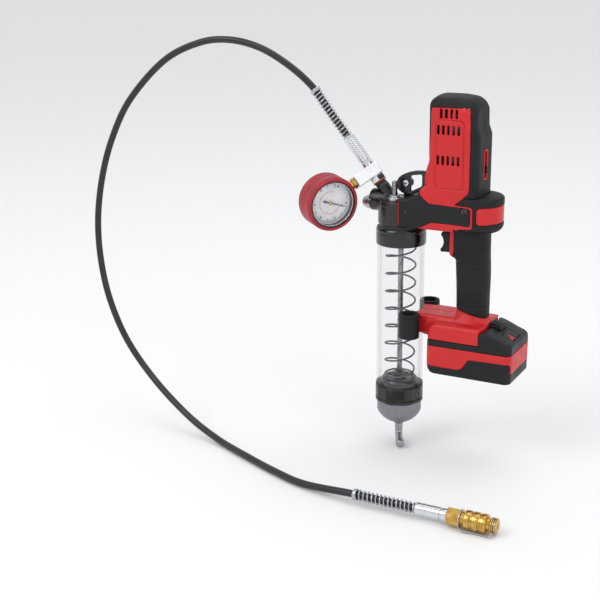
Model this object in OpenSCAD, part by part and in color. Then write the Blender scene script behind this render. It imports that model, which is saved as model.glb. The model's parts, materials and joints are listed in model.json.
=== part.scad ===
// Cordless grease gun, standing upright as it is held in the hand.
// +Z runs up the clear barrel, +X points back towards the grip and battery.
// The modules are drawn from the barrel's axis; place() moves the origin into the hand grip.

/* [Barrel] */
// Outer diameter of the clear barrel
barrel_d = 60; // [56:1:61]
// Wall of the clear barrel
barrel_wall = 3; // [2:0.5:4]
// Length of the clear barrel
barrel_len = 220; // [190:5:240]
// Diameter of the follower rod
rod_d = 7; // [5:0.5:8]
// How far the follower can be pulled down
rod_stroke = 140; // [60:5:150]
// Wire diameter of the follower spring
spring_wire = 2; // [1.5:0.25:3]
// Mean diameter of the follower spring
spring_d = 40; // [30:1:44]
// Turns of the follower spring
spring_turns = 8; // [6:1:12]

/* [Barrel fittings] */
// Outer diameter of the collar under the head
collar_d = 64; // [63:0.5:70]
// Height of the collar under the head
collar_h = 22; // [16:1:28]
// Outer diameter of the ring nut under the barrel
nut_d = 64; // [63:0.5:70]
// Height of the ring nut
nut_h = 23; // [18:1:26]
// Distance from the ring nut's axis to its flats
nut_flat = 31; // [30.8:0.1:32]
// Outer diameter of the domed end cap
cap_d = 58; // [50:1:58]
// Wall of the domed end cap
cap_wall = 3; // [2:0.5:4]
// Diameter of the rod's bent handle
handle_d = 10.6; // [9:0.2:12]
// Length of the handle's bent leg
handle_leg = 20; // [12:1:40]

/* [Pump head] */
// Diameter of the pump head casting
head_d = 59; // [56:1:61]
// Height of the pump head casting
head_h = 35; // [30:1:40]
// Diameter of the pump plunger
plunger_d = 8; // [6:0.5:9]
// Diameter of the outlet boss on the head's front
boss_d = 28; // [24:1:30]
// Diameter of the air bleeder's stem
bleeder_d = 7; // [5:0.5:8]
// Travel of the air bleeder's stem
bleeder_travel = 3; // [2:0.5:4]

/* [Outlet and gauge] */
// Diameter of the outlet adapter
adapter_d = 17; // [14:0.5:18]
// Width of the tee block
tee_w = 16; // [14:0.5:18]
// Length of the tee block towards the gauge
tee_len = 36; // [30:1:40]
// Diameter of the gauge's rubber boot
boot_d = 69; // [60:1:75]
// Depth of the gauge's rubber boot
boot_depth = 31; // [26:1:36]
// Diameter of the gauge's dial
dial_d = 56; // [48:1:58]

/* [Hose] */
// Outer diameter of the hose
hose_d = 9; // [8:0.5:10]
// Diameter of the crimped ferrules
ferrule_d = 15.5; // [14:0.5:17]
// Length of the ferrule at the gun
ferrule_len = 46; // [36:1:50]
// Length of the ferrule at the coupler
far_ferrule_len = 40; // [30:1:50]
// Outer diameter of the spring guards
guard_d = 14; // [13:0.5:15]
// Diameter of the coupler's sliding sleeve
sleeve_d = 23; // [20:0.5:24]

/* [Housing] */
// Width of the motor tower across the gun
tower_w = 62; // [58:1:66]
// Length of the motor tower along the gun
tower_len = 60; // [60:1:66]
// Height of the motor tower above the gear case
tower_h = 131; // [120:1:140]
// Wall of the red housing
wall = 2.5; // [2:0.25:3]
// Width of the grip
grip_w = 36; // [34:1:40]
// Length of the grip along the gun
grip_len = 44; // [42:1:48]
// Thickness of the soft grip cover
cover_t = 2; // [1.5:0.25:2.5]
// Travel of the trigger
trigger_travel = 7; // [4:0.5:8]
// Travel of the speed switch
switch_travel = 10; // [6:1:14]

/* [Hose holder] */
// Outer diameter of the holder sockets
socket_d = 26; // [24:1:28]
// Bore of the holder sockets
socket_bore = 18; // [14:0.5:20]
// Height of the holder sockets
socket_h = 32; // [24:1:36]

/* [Battery] */
// Length of the battery
battery_len = 110; // [104:1:120]
// Width of the battery
battery_w = 76; // [72:1:80]
// Height of the battery's main box
battery_h = 45; // [43:1:55]
// Diameter of one battery cell
cell_d = 18; // [17:0.5:18.5]
// Depth of the red band's groove
band_t = 1.2; // [0.8:0.1:1.5]

/* [Motor and gears] */
// Diameter of the motor
motor_d = 42; // [36:1:43]
// Length of the motor
motor_len = 60; // [50:1:62]
// Gear module of the planetary stage
gear_m = 0.8; // [0.7:0.05:0.8]
// Teeth on the sun pinion
sun_teeth = 12; // [12:6:12]
// Teeth on each planet
planet_teeth = 18; // [18:6:18]
// Throw of the crank
crank_throw = 5; // [3:0.5:6]

/* [Hidden] */
$fn = 64;
eps = 0.01;
gap = 0.3;        // clearance between pieces on different bodies
run = 0.05;       // radial clearance of a shaft that turns or slides
seat = 0.15;      // radial clearance of pieces that stay put

// levels, above the lowest point that the hose and coupler lie on
grip_x = 98;
grip_z = 240;
head_top = 332;
head_bottom = head_top - head_h;
barrel_top = head_bottom;
barrel_bottom = barrel_top - barrel_len;
barrel_r = barrel_d / 2;
barrel_in = barrel_r - barrel_wall;
rod_r = rod_d / 2;
flange_t = 3;
nut_top = barrel_bottom + 9;
nut_bottom = nut_top - nut_h;
seat_top = barrel_bottom + 17;
cap_top = barrel_bottom - flange_t;
cap_r = cap_d / 2;
dome_r = 32;
dome_z = cap_top - 12.4;
cap_bottom = dome_z - dome_r;
follower_h = 14;
handle_bend = 80;
follower_bottom = barrel_top - 4 - follower_h;

// pump head and outlet
pump_z = head_top - 8;
boss_z = head_top - 4;
boss_root = -20;
head_r = head_d / 2;
boss_r = boss_d / 2;
boss_front = -44;
seam_x = 8;
neck_end = 46;
neck_w = 30;
valve_r = 5.5;
valve_x = -14;
ball_r = 4.2;
bleeder_x = -3.5;
bleeder_y = -14;
strap_x = 7;
strap_z = 352.5;
strap_lug_y = 3.3;
strap_ring_t = 5;

// the outlet leaves along the hose's first stretch
hose_start = [-75, 0, 405];
guard_end = [-125, 0, 465];
outlet_tilt = atan2(hose_start[0] - guard_end[0], guard_end[2] - hose_start[2]);
adapter_end = 18;
nipple_end = 27;
ferrule_start = nipple_end + tee_w;
outlet_len = ferrule_start + ferrule_len;
tee_mid = nipple_end + tee_w / 2;
tee_turn = -137;
gauge_turn = -34;
tee_back = -9;
stem_len = 12;
boot_r = boot_d / 2;
gauge_out = tee_back + tee_len + stem_len + boot_r - 3;
case_r = boot_r - 3;
dial_r = min(dial_d / 2, case_r - 3.5);

// hose route: gun end, arch in the air, then along the floor to the coupler
coupler_y = -190;
coupler_z = 12;
far_guard_x = 22;
far_ferrule_x = 106;
route = [hose_start, [-100, 0, 435], guard_end,
    [-158, -2, 491], [-198, -5, 512], [-242, -8, 521], [-287, -12, 516], [-340, -18, 491],
    [-394, -25, 437], [-423, -32, 382], [-439, -39, 326], [-444, -47, 268], [-437, -55, 212],
    [-418, -64, 158], [-384, -74, 106], [-333, -85, 60], [-270, -100, 24], [-212, -117, 7],
    [-153, -142, 5], [-98, -165, 5], [-46, -182, 6],
    [far_guard_x, coupler_y, coupler_z], [64, coupler_y, coupler_z],
    [far_ferrule_x, coupler_y, coupler_z]];
route_steps = 3;
collar_len = 8;
hose_r = hose_d / 2;
ferrule_r = ferrule_d / 2;
guard_r = guard_d / 2;
guard_gap = 0.8;     // the coiled guard is a loose fit on the hose
hex_x = far_ferrule_x + far_ferrule_len;
hex_len = 17;
body_len = 52;
sleeve_x = hex_x + hex_len + 3;
sleeve_len = 27;
sleeve_travel = 4;
sleeve_r = sleeve_d / 2;
nose_r = 7;

// housing
case_bottom = 303;
case_top = 336;
case_w = 60;
rear_x = 100;
tower_x0 = 46;
tower_x1 = tower_x0 + tower_len;
tower_top = case_top + tower_h;
tower_skin = 4;
tower_back = 7;
tower_roof = 15;
grip_top = case_bottom;
foot_top = 193;
foot_mid = 187;
foot_bottom = 165;
foot_x0 = 52;
foot_x1 = 120;
foot_w = 74;
arm_w = 48;
arm_x0 = 18;
spine_x = 70;
spine_w = 26;
trigger_x = 56.5;
trigger_w = 17;
trigger_z0 = 271.5;
trigger_z1 = 297;
switch_z = 384;
bumper_t = 3;
band_z0 = 315;
band_z1 = 337;
plate_t = 1.2;
plate_x1 = 92;
plate_z0 = 311;
screw_r = 4;
socket_x = 27;
socket_y = 34;
socket_top = foot_top + 1;
screw_spots = [[-1, 95, 331], [1, 74, 342], [1, 62, 442], [1, 90, 310.5]];   // side, x and z of each

// drive train on one vertical axis
motor_x = (tower_x0 + tower_skin + tower_x1 - tower_back) / 2;
motor_bottom = 386;
sun_r = sun_teeth * gear_m / 2;
planet_r = planet_teeth * gear_m / 2;
ring_teeth = sun_teeth + 2 * planet_teeth;
planet_orbit = sun_r + planet_r;
ring_wall = 2.4;
ring_out = ring_teeth * gear_m / 2 + ring_wall;
gear_z = 366;
gear_h = 8;
carrier_t = 4;
crank_shaft_r = 6;
bearing_z = 346;
bearing_h = 8;
bearing_r = 13;
yoke_top = pump_z + 5;
crank_pin_r = 3;
pin_play = 0.2;
plunger_tip = -8;
plunger_end = 62;

// battery
battery_x0 = 51;
battery_x1 = battery_x0 + battery_len;
battery_top = foot_bottom - gap;
battery_bottom = battery_top - battery_h;
battery_wall = 2;
battery_split = battery_top - 15;
band_low = battery_split - 11;
band_high = battery_split + 7;
rail_w = 50;
rail_h = 12;
rail_x0 = 62;
rear_block_h = 21;
latch_x = 124;

// ---- shared shapes ----

module place() translate([-grip_x, 0, -grip_z]) children();

// flat rounded rectangle with true arcs
module rounded_rect(x0, x1, w, r) {
    translate([x0 + r, -w / 2]) square([x1 - x0 - 2 * r, w]);
    translate([x0, r - w / 2]) square([x1 - x0, w - 2 * r]);
    for (x = [x0 + r, x1 - r], s = [-1, 1]) translate([x, s * (w / 2 - r)]) circle(r);
}

module rounded_block(x0, x1, w, r, z0, z1)
    translate([0, 0, z0]) linear_extrude(z1 - z0) rounded_rect(x0, x1, w, r);

module disc(r, z0, z1) translate([0, 0, z0]) cylinder(r = r, h = z1 - z0);

module ring(r_out, r_in, z0, z1) difference() {
    disc(r_out, z0, z1);
    disc(r_in, z0 - 1, z1 + 1);
}

module along_y(r, y0, y1) translate([0, y0, 0]) rotate([-90, 0, 0]) cylinder(r = r, h = y1 - y0);

module along_x(r, x0, x1) translate([x0, 0, 0]) rotate([0, 90, 0]) cylinder(r = r, h = x1 - x0);

// keeps the half of a solid on one side of the gun's middle plane
module half(side) intersection() {
    children();
    translate([-100, side > 0 ? 0 : -100, 0]) cube([400, 100, 600]);
}

// local frame of the outlet: Z along the hose's first stretch, origin on the pump head
module on_outlet() translate(hose_start) rotate([0, -outlet_tilt, 0])
    translate([0, 0, -outlet_len]) children();

// local frame of the gauge: Z out of its face, Y away from the tee
module on_gauge() on_outlet() translate([0, 0, tee_mid]) rotate([0, 0, tee_turn])
    translate([gauge_out, 0, 0]) rotate([gauge_turn, 0, 0])
    rotate(a = -120, v = [1, 1, 1]) children();

// local frame of the coupler: Z along the hose towards its open end
module on_coupler(x) translate([x, coupler_y, coupler_z]) rotate([0, 90, 0]) children();

// ---- gears ----

// a spur gear outline with straight-flanked teeth, thinned for running clearance
function tooth_points(n, m, dip, rise, phase) = let (r = n * m / 2, step = 360 / n) [
    for (i = [0:n - 1], k = [[-0.31, -dip], [-0.20, 0], [-0.10, rise], [0.10, rise], [0.20, 0], [0.31, -dip]])
        let (a = (i + k[0]) * step + phase, q = r + k[1] * m) [q * cos(a), q * sin(a)]];

module gear(n, z0, h, bore, phase) translate([0, 0, z0]) difference() {
    linear_extrude(h) polygon(tooth_points(n, gear_m, 1.2, 0.85, phase));
    translate([0, 0, -1]) cylinder(r = bore, h = h + 2);
}

// ---- housing ----

module grip_shape(x_grow) {
    r = grip_w / 2 - cover_t + x_grow;
    dx = (grip_len - grip_w) / 2;
    for (s = [-1, 1]) translate([grip_x + s * dx, 0]) circle(r);
    translate([grip_x - dx, -r]) square([2 * dx, 2 * r]);
}

module foot_block(inset) {
    rounded_block(foot_x0 + inset, foot_x1 - inset, foot_w - 2 * inset, 8, foot_bottom - eps, foot_mid - inset);
    rounded_block(40 + inset, foot_x1 - inset, arm_w - 2 * inset, 8, foot_mid - 2, foot_top - inset);
    rounded_block(arm_x0 + inset, 70, arm_w - 2 * inset, 3, foot_bottom + 1 + inset, foot_top - inset);
}

module case_block(inset) {
    rounded_block(seam_x + inset, rear_x, case_w - 2 * inset, 1, case_bottom + inset, case_top + 2 - inset);
    translate([rear_x, 0, 0]) disc(case_w / 2 - inset, case_bottom + inset, case_top + 2 - inset);
}

module tower_block(inset) rounded_block(tower_x0 + tower_skin + inset, tower_x1 - tower_back - inset,
    tower_w - 2 * inset, 2, case_top - 6, tower_top - tower_roof - inset);

module screw_holes() for (p = screw_spots)
    translate([p[1], 0, p[2]]) scale([1, p[0], 1]) along_y(screw_r + seat, 20, 60);

module housing_whole() difference() {
    union() {
        case_block(0);
        tower_block(0);
        translate([0, 0, foot_top - 8]) linear_extrude(grip_top - foot_top + 12) grip_shape(0);
        translate([spine_x, -spine_w / 2, 268]) cube([24, spine_w, case_bottom - 267]);
        foot_block(0);
    }
    case_block(wall);
    tower_block(wall);
    translate([0, 0, foot_top - 9]) linear_extrude(case_bottom - foot_top + 16) grip_shape(-wall);
    foot_block(wall);
    // room for the pump head's neck, the trigger and the hose holder's barrel
    translate([seam_x - 1, -neck_w / 2 - seat, case_bottom - 1]) cube([wall + 3, neck_w + 2 * seat, 40]);
    translate([spine_x - 1, -trigger_w / 2 - gap, trigger_z0 - gap])
        cube([26, trigger_w + 2 * gap, trigger_z1 - trigger_z0 + 2 * gap]);
    disc(barrel_r + 0.4, foot_bottom - 2, foot_top + 2);
    for (s = [-1, 1]) translate([socket_x, s * socket_y, 0])
        disc(socket_d / 2 + seat, foot_bottom - 2, foot_top + 2);
    // the battery's rail slides in from behind
    translate([rail_x0 - 1, -rail_w / 2 - gap, foot_bottom - 1]) cube([foot_x1, rail_w + 2 * gap, rail_h + 1.5]);
    // vents in both sides of the tower
    for (row = [[5, 391, 0], [5, 428, 0], [4, 447, 0]], i = [0:row[0] - 1])
        translate([73 + (i - (row[0] - 1) / 2) * 5.8 - 1.2, -50, row[1] - 5]) cube([2.4, 100, 10]);
    // slot for the speed slider
    translate([tower_x1 - tower_back - 5, -3.5, switch_z - 14]) cube([20, 7, 28]);
    screw_holes();
}

module housing_left() color("#d8262c") half(-1) housing_whole();
module housing_right() color("#d8262c") half(1) housing_whole();

module tower_cover() color("#232326") difference() {
    union() {
        rounded_block(tower_x0, tower_x1 - 3, tower_w, 10, case_top + 2, tower_top);
        rounded_block(tower_x0 + 10, tower_x1, tower_w, 12, case_top + 2, tower_top - 42);
    }
    translate([tower_x0 + tower_skin, -60, case_top - 2])
        cube([tower_len - tower_skin - tower_back, 120, tower_h - tower_roof + 2]);
    translate([tower_x0 + tower_skin + wall, wall - tower_w / 2, tower_top - tower_roof - 2])
        cube([tower_len - tower_skin - tower_back - 2 * wall, tower_w - 2 * wall, tower_roof - 2]);
    translate([tower_x1 - tower_back - 1, -6.5 - seat, switch_z - 19 - seat])
        cube([20, 13 + 2 * seat, 38 + 2 * seat]);
}

module grip_cover() color("#232326") difference() {
    translate([0, 0, foot_top]) linear_extrude(case_bottom - foot_top) grip_shape(cover_t);
    translate([0, 0, foot_top - 1]) linear_extrude(case_bottom - foot_top + 2) grip_shape(seat);
    translate([spine_x - 1, -spine_w / 2 - eps, 267]) cube([24, spine_w + 2 * eps, 60]);
}

module rear_arc(r_out, r_in, z0, z1) translate([rear_x, 0, 0]) intersection() {
    ring(r_out, r_in, z0, z1);
    translate([2, -60, z0 - 1]) cube([80, 120, z1 - z0 + 2]);
}

module rear_bumper() color("#232326") difference() {
    rear_arc(case_w / 2 + bumper_t, case_w / 2 + seat, case_bottom, case_top + 10);
    rear_arc(case_w / 2 + bumper_t + 1, case_w / 2 + 1.5, band_z0, band_z1);
    rounded_block(tower_x0, tower_x1, tower_w + 2 * seat, 12, case_top + 2, case_top + 30);
    tower_block(-seat);
}

module rear_band() color("#d8262c") difference() {
    rear_arc(case_w / 2 + bumper_t, case_w / 2 + 1.5, band_z0, band_z1);
    tower_block(-seat);
}

module side_plates() color("#19191b") for (s = [-1, 1]) difference() {
    translate([seam_x + 1.5, s > 0 ? case_w / 2 : -case_w / 2 - plate_t, plate_z0])
        cube([plate_x1 - seam_x, plate_t, case_top - plate_z0]);
    translate([tower_x0 + tower_skin, -50, case_top - 6]) cube([tower_len, 100, 20]);
    screw_holes();
}

module housing_screws() color("#3a3a3d") for (p = screw_spots)
    translate([p[1], 0, p[2]]) scale([1, p[0], 1]) difference() {
        along_y(screw_r, case_w / 2 - wall, case_w / 2 + 0.6);
        translate([0, case_w / 2, 0]) along_y(1.4, 0, 3);
    }

module trigger() color("#232326") difference() {
    translate([trigger_x, -trigger_w / 2, trigger_z0])
        cube([spine_x + 7.5 - trigger_x, trigger_w, trigger_z1 - trigger_z0]);
    translate([trigger_x - 8, 0, trigger_z0 + 11]) along_y(11, -trigger_w, trigger_w);
}

module trigger_switch() color("#55585e")
    translate([spine_x + 7.5 + trigger_travel + gap, -9.5, 269]) cube([20, 19, 28]);

module switch_frame() color("#d8262c") difference() {
    translate([tower_x1 - tower_back, -6.5, switch_z - 19]) cube([tower_back + 0.6, 13, 38]);
    translate([tower_x1 - tower_back - 1, -4.5, switch_z - 17]) cube([tower_back + 4, 9, 34]);
}

module speed_slider() color("#19191b") {
    translate([tower_x1 - 4, -4.5 + gap, switch_z - 17 + gap]) cube([3, 9 - 2 * gap, 34 - switch_travel - 2 * gap]);
    translate([tower_x1 - 2, -3, switch_z - 10]) cube([5, 6, 7]);
}

// ---- motor, gears and crank ----

module on_motor() translate([motor_x, 0, 0]) children();

module motor() color("#8d9096") on_motor() difference() {
    union() {
        disc(motor_d / 2, motor_bottom, motor_bottom + motor_len);
        disc(8, motor_bottom - 3, motor_bottom + 2);
    }
    disc(motor_d / 2 - 2, motor_bottom + 2, motor_bottom + motor_len - 2);
    disc(2.5 + run, motor_bottom - 4, motor_bottom + motor_len + 1);
}

module motor_rotor() color("#b87333") on_motor() {
    disc(2.5, gear_z, motor_bottom + motor_len - 1);
    disc(motor_d / 2 - 5, motor_bottom + 8, motor_bottom + motor_len - 10);
    gear(sun_teeth, gear_z, gear_h, 2.4, 0);
}

module ring_gear() color("#74777c") on_motor() difference() {
    disc(ring_out, bearing_z + bearing_h, motor_bottom - 3);
    translate([0, 0, bearing_z + bearing_h + 1]) linear_extrude(60)
        polygon(tooth_points(ring_teeth, gear_m, 0.85, 1.2, 180 / ring_teeth));
    disc(bearing_r, bearing_z, bearing_z + bearing_h + 2);
}

module planet_carrier() color("#9a9da3") on_motor() {
    disc(planet_orbit + 3.5, gear_z - gap - carrier_t, gear_z - gap);
    for (a = [0:120:240]) rotate([0, 0, a]) translate([planet_orbit, 0, 0])
        disc(2, gear_z - gap - 1, gear_z + gear_h + 1);
    disc(crank_shaft_r, bearing_z - 3, gear_z - gap - 1);
    disc(crank_throw + crank_pin_r + 1, bearing_z - 6, bearing_z - 3 + eps);
    translate([crank_throw, 0, 0]) disc(crank_pin_r, yoke_top + gap, bearing_z - 5);
}

module planet(a) color("#b5b8bd") on_motor() rotate([0, 0, a]) translate([planet_orbit, 0, 0])
    gear(planet_teeth, gear_z, gear_h, 2 + run, 180 / planet_teeth);

module crank_bearing() color("#c8cace") on_motor()
    ring(bearing_r - 0.02, crank_shaft_r + run, bearing_z, bearing_z + bearing_h);

module pump_plunger() color("#c8cace") translate([0, 0, pump_z]) {
    along_x(plunger_d / 2, plunger_tip, plunger_end + 2);
    difference() {
        translate([plunger_end, -12, -6]) cube([2 * (motor_x - plunger_end), 24, 11]);
        translate([motor_x - crank_pin_r - pin_play, -9, -1]) cube([2 * (crank_pin_r + pin_play), 18, 8]);
    }
}

// ---- pump head ----

module pump_head() color("#1b1b1d") difference() {
    union() {
        disc(head_r, head_bottom, case_bottom - gap);
        difference() {
            disc(head_r, head_bottom, head_top);
            translate([seam_x, -head_r, case_bottom - gap]) cube(2 * head_r);
        }
        translate([0, -head_r + 3, head_bottom + 7]) cube([seam_x, 2 * head_r - 6, head_h - 7]);
        translate([seam_x - 1, -neck_w / 2, case_bottom + wall + 0.5])
            cube([neck_end - seam_x, neck_w, case_top - case_bottom - 2 * wall]);
        translate([0, 0, boss_z]) along_x(boss_r, boss_front, boss_root);
        translate([0, strap_lug_y, strap_z]) translate([strap_x, 0, 0]) along_y(6, 0, 6);
        translate([strap_x - 6, strap_lug_y, head_top - 2])
            cube([seam_x - gap - strap_x + 6, 6, strap_z - head_top + 2]);
    }
    translate([0, 0, pump_z]) along_x(plunger_d / 2 + run, valve_x - 2, neck_end + 1);
    translate([0, 0, pump_z]) along_x(valve_r, boss_front - 1, valve_x);
    translate([0, 0, pump_z]) along_x(boss_r - 5, boss_front - 1, boss_front + 5);
    translate([10, 0, 0]) disc(5, head_bottom - 1, pump_z);
    on_outlet() disc(adapter_d / 2 + seat, -3, 60);
    on_outlet() disc(3, -12, 0);
    translate([bleeder_x, bleeder_y, 0]) disc(bleeder_d / 2 + run, head_top - 8, head_top + 1);
    translate([strap_x, 0, strap_z]) along_y(2.5 + seat, strap_lug_y - 1, strap_lug_y + 7);
}

module check_plug() color("#b9bcc2") translate([0, 0, pump_z]) {
    along_x(boss_r - 5 - seat, boss_front, boss_front + 5);
    intersection() {
        along_x(8.5, boss_front - 8, boss_front);
        translate([boss_front - 1, 0, 0]) sphere(r = 11);
    }
}

module check_ball() color("silver") translate([valve_x - ball_r, 0, pump_z]) sphere(r = ball_r);

module check_spring() color("silver") translate([0, 0, pump_z]) difference() {
    along_x(4.2, boss_front + 5, valve_x - ball_r - sqrt(ball_r * ball_r - 3.2 * 3.2) - 0.2);
    along_x(3.2, boss_front + 4, valve_x);
}

module bleeder_seat() color("#c3c6ca") translate([bleeder_x, bleeder_y, 0]) {
    ring(8.7, bleeder_d / 2 + run, head_top, head_top + 3.5);
    ring(6.5, bleeder_d / 2 + run, head_top + 3, head_top + 5);
}

module bleeder_stem() color("#d0d2d6") translate([bleeder_x, bleeder_y, 0])
    disc(bleeder_d / 2, head_top - 8 + bleeder_travel + gap, head_top + 25);

module strap_ring() color("#19191b") translate([strap_x, -2, strap_z]) rotate([-90, 0, 0]) difference() {
    union() {
        cylinder(r = 7, h = strap_ring_t);
        linear_extrude(strap_ring_t) polygon([[-14, -2], [-12, -8], [-6, -13], [3, -17], [13, -19.5], [24, -20],
            [27.5, -16], [27.5, -3], [24, 0], [12, 7], [5, 10], [-5, 9], [-12, 5]]);
    }
    translate([0, 0, -1]) cylinder(r = 2.5 + run, h = strap_ring_t + 2);
    translate([0, 0, -1]) linear_extrude(strap_ring_t + 2) polygon([[6.5, -11.5], [8, -13], [22, -15.5],
        [23.5, -14], [23.5, -2], [7.5, 5.5], [6.5, 4.5]]);
}

module strap_screw() color("#b9bcc2") translate([strap_x, 0, strap_z]) {
    along_y(2.5, -3, strap_lug_y + 5);
    difference() {
        along_y(4.2, -2 - gap - 2, -2 - gap);
        for (a = [0, 90]) rotate([0, a, 0]) translate([-2.6, -5, -0.5]) cube([5.2, 1.7, 1]);
    }
}

// ---- barrel ----

module barrel_collar() color("#1b1b1d") difference() {
    disc(collar_d / 2, barrel_top - collar_h, barrel_top);
    disc(barrel_r + seat, barrel_top - collar_h - 1, barrel_top + 1);
}

module barrel() color("#e8eef2", 0.3) ring(barrel_r, barrel_in, barrel_bottom, barrel_top);

module follower() color("#19191b") difference() {
    disc(barrel_in - 0.3, follower_bottom, follower_bottom + follower_h);
    disc(barrel_in - 4, follower_bottom + 8, follower_bottom + follower_h + 1);
    disc(rod_r + seat, follower_bottom - 1, follower_bottom + follower_h);
}

module follower_rod() color("#c8cace") {
    disc(rod_r, cap_bottom - 12, follower_bottom + 8);
    disc(rod_r + 4, follower_bottom - 9, follower_bottom);
}

module follower_spring() color("#77797d") {
    steps = 16;
    low = seat_top + spring_wire / 2 + 0.3;
    high = follower_bottom - spring_wire / 2 - 0.3;
    r = spring_d / 2;
    rings = spring_turns * steps;
    path = [for (i = [0:rings]) let (a = 360 * i / steps)
        [r * cos(a), r * sin(a), low + (high - low) * i / rings]];
    tube(path, spring_wire / 2, 6, [0, 0, 1]);
}

module spring_seat() color("#19191b") difference() {
    union() {
        disc(barrel_in - seat, barrel_bottom, seat_top);
        disc(barrel_r - 0.5, barrel_bottom - flange_t, barrel_bottom);
        disc(8, seat_top - 1, seat_top + 6);
    }
    disc(rod_r + run, barrel_bottom - flange_t - 1, seat_top + 8);
}

module ring_nut() color("#19191b") difference() {
    intersection() {
        disc(nut_d / 2, nut_bottom, nut_top);
        translate([0, 0, nut_bottom]) rotate([0, 0, 22.5])
            cylinder(r = nut_flat / cos(22.5), h = nut_h, $fn = 8);
    }
    disc(barrel_r + seat, cap_top - flange_t, nut_top + 1);
    disc(cap_r + seat, nut_bottom - 1, nut_top);
}

module end_cap() color("#8b8d92") difference() {
    union() {
        intersection() {
            disc(cap_r, cap_bottom - 1, cap_top);
            translate([0, 0, dome_z]) sphere(r = dome_r);
        }
        disc(cap_r, dome_z - sqrt(dome_r * dome_r - cap_r * cap_r), cap_top);
        disc(barrel_r - 0.2, cap_top - flange_t, cap_top);
        disc(rod_r + 3.5, cap_bottom - 2, cap_bottom + 8);
    }
    difference() {
        intersection() {
            disc(cap_r - cap_wall, cap_bottom - 1, cap_top + 1);
            translate([0, 0, dome_z + cap_wall]) union() {
                sphere(r = dome_r - cap_wall);
                disc(cap_r, 0, 40);
            }
        }
        disc(rod_r + 3.5, cap_bottom - 2, cap_bottom + 8);
    }
    disc(rod_r + run, cap_bottom - 3, cap_top + 1);
}

// the handle is a rod bent towards the user, with a socket for the follower rod
module rod_handle() color("#6d6f73") {
    bend = 8;
    elbow_z = cap_bottom - 12;
    top = cap_bottom - 2 - gap;
    arc = [for (a = [0:15:handle_bend]) [bend * (1 - cos(a)), 0, elbow_z - bend * sin(a)]];
    tip = arc[len(arc) - 1] + handle_leg * [sin(handle_bend), 0, -cos(handle_bend)];
    difference() {
        rotate([0, 0, -61]) tube(concat([[0, 0, top]], arc, [tip]), handle_d / 2, 16, [0, 1, 0]);
        disc(rod_r, cap_bottom - 12, top + 1);
    }
}

module holder_sockets() color("#232326") for (s = [-1, 1])
    translate([socket_x, s * socket_y, 0])
        ring(socket_d / 2, socket_bore / 2, socket_top - socket_h, socket_top);

// ---- battery ----

module terminal_block() color("#19191b") {
    translate([70, -16, foot_bottom + rail_h + 1]) cube([36, 32, foot_mid - wall - foot_bottom - rail_h - 1]);
    for (y = [-12:8:12]) translate([72, y - 0.4, foot_bottom + 6]) cube([14, 0.8, 8]);
}

module battery_box(inset, z0, z1) rounded_block(battery_x0 + inset, battery_x1 - inset,
    battery_w - 2 * inset, 12 - inset, z0, z1);

module band_groove() difference() {
    battery_box(-1, band_low, band_high);
    battery_box(band_t, band_low - 1, band_high + 1);
}

module battery_lower() color("#232326") difference() {
    battery_box(0, battery_bottom, battery_split);
    battery_box(battery_wall + band_t, battery_bottom + battery_wall, battery_split + 1);
    band_groove();
}

module battery_upper() color("#232326") difference() {
    union() {
        battery_box(0, battery_split, battery_top);
        translate([rail_x0, -rail_w / 2, battery_top - 1]) cube([foot_x1 - rail_x0 + 4, rail_w, rail_h + 1 - gap]);
        intersection() {
            rounded_block(foot_x1 + gap, battery_x1, battery_w, 8, battery_top - 1, battery_top + rear_block_h);
            translate([0, 60, 0]) rotate([90, 0, 0]) linear_extrude(120)
                polygon([[0, battery_top - 2], [battery_x1 + 1, battery_top - 2], [battery_x1 + 1, battery_top + 3],
                    [foot_x1 + 10, battery_top + rear_block_h], [0, battery_top + rear_block_h]]);
        }
    }
    battery_box(battery_wall + band_t, battery_split - 1, battery_top - battery_wall);
    band_groove();
    for (y = [-12:8:12]) translate([foot_x0, y - 1, foot_bottom + 4]) cube([88 - foot_x0, 2, 12]);
    translate([latch_x, -10 - gap, battery_top + 6]) cube([16, 20 + 2 * gap, 30]);
}

module battery_band() color("#d8262c") difference() {
    battery_box(0, band_low, band_high);
    battery_box(band_t, band_low - 1, band_high + 1);
}

module battery_latch() color("#19191b") difference() {
    translate([latch_x + gap, -10, battery_top + 9]) cube([16 - 2 * gap, 20, 13]);
    for (i = [0:3]) translate([latch_x - 1, -8 + i * 4.6, battery_top + 21]) cube([20, 2, 4]);
}

module battery_cells() color("#3b6ea5") {
    pitch = cell_d + 0.6;
    for (i = [0:4], k = [0, 1])
        translate([(battery_x0 + battery_x1) / 2 + (i - 2) * pitch, 0,
            battery_bottom + battery_wall + 0.3 + cell_d / 2 + k * (cell_d + 0.2)])
            along_y(cell_d / 2, -32.5, 32.5);
}

// ---- outlet and gauge ----

module outlet_adapter() color("#232326") on_outlet() difference() {
    union() {
        disc(adapter_d / 2, -2.8, adapter_end);
        disc(6, adapter_end - 1, adapter_end + 2);
    }
    disc(3, -4, adapter_end + 3);
}

module hex_nipple() color("#b9bcc2") on_outlet() difference() {
    translate([0, 0, adapter_end + 2]) cylinder(r = 10, h = nipple_end - adapter_end - 2, $fn = 6);
    disc(3, adapter_end, nipple_end + 1);
}

module tee_block() color("#dfe1e4") on_outlet() translate([0, 0, tee_mid]) rotate([0, 0, tee_turn]) difference() {
    translate([tee_back, -tee_w / 2, -tee_w / 2]) cube([tee_len, tee_w, tee_w]);
    disc(3, -tee_w, tee_w);
    along_x(3, 0, tee_len);
}

module gauge_stem() color("#b5893c") on_outlet() translate([0, 0, tee_mid]) rotate([0, 0, tee_turn]) difference() {
    along_x(6, tee_back + tee_len, gauge_out - case_r + 2);
    along_x(2, 0, gauge_out);
}

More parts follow.
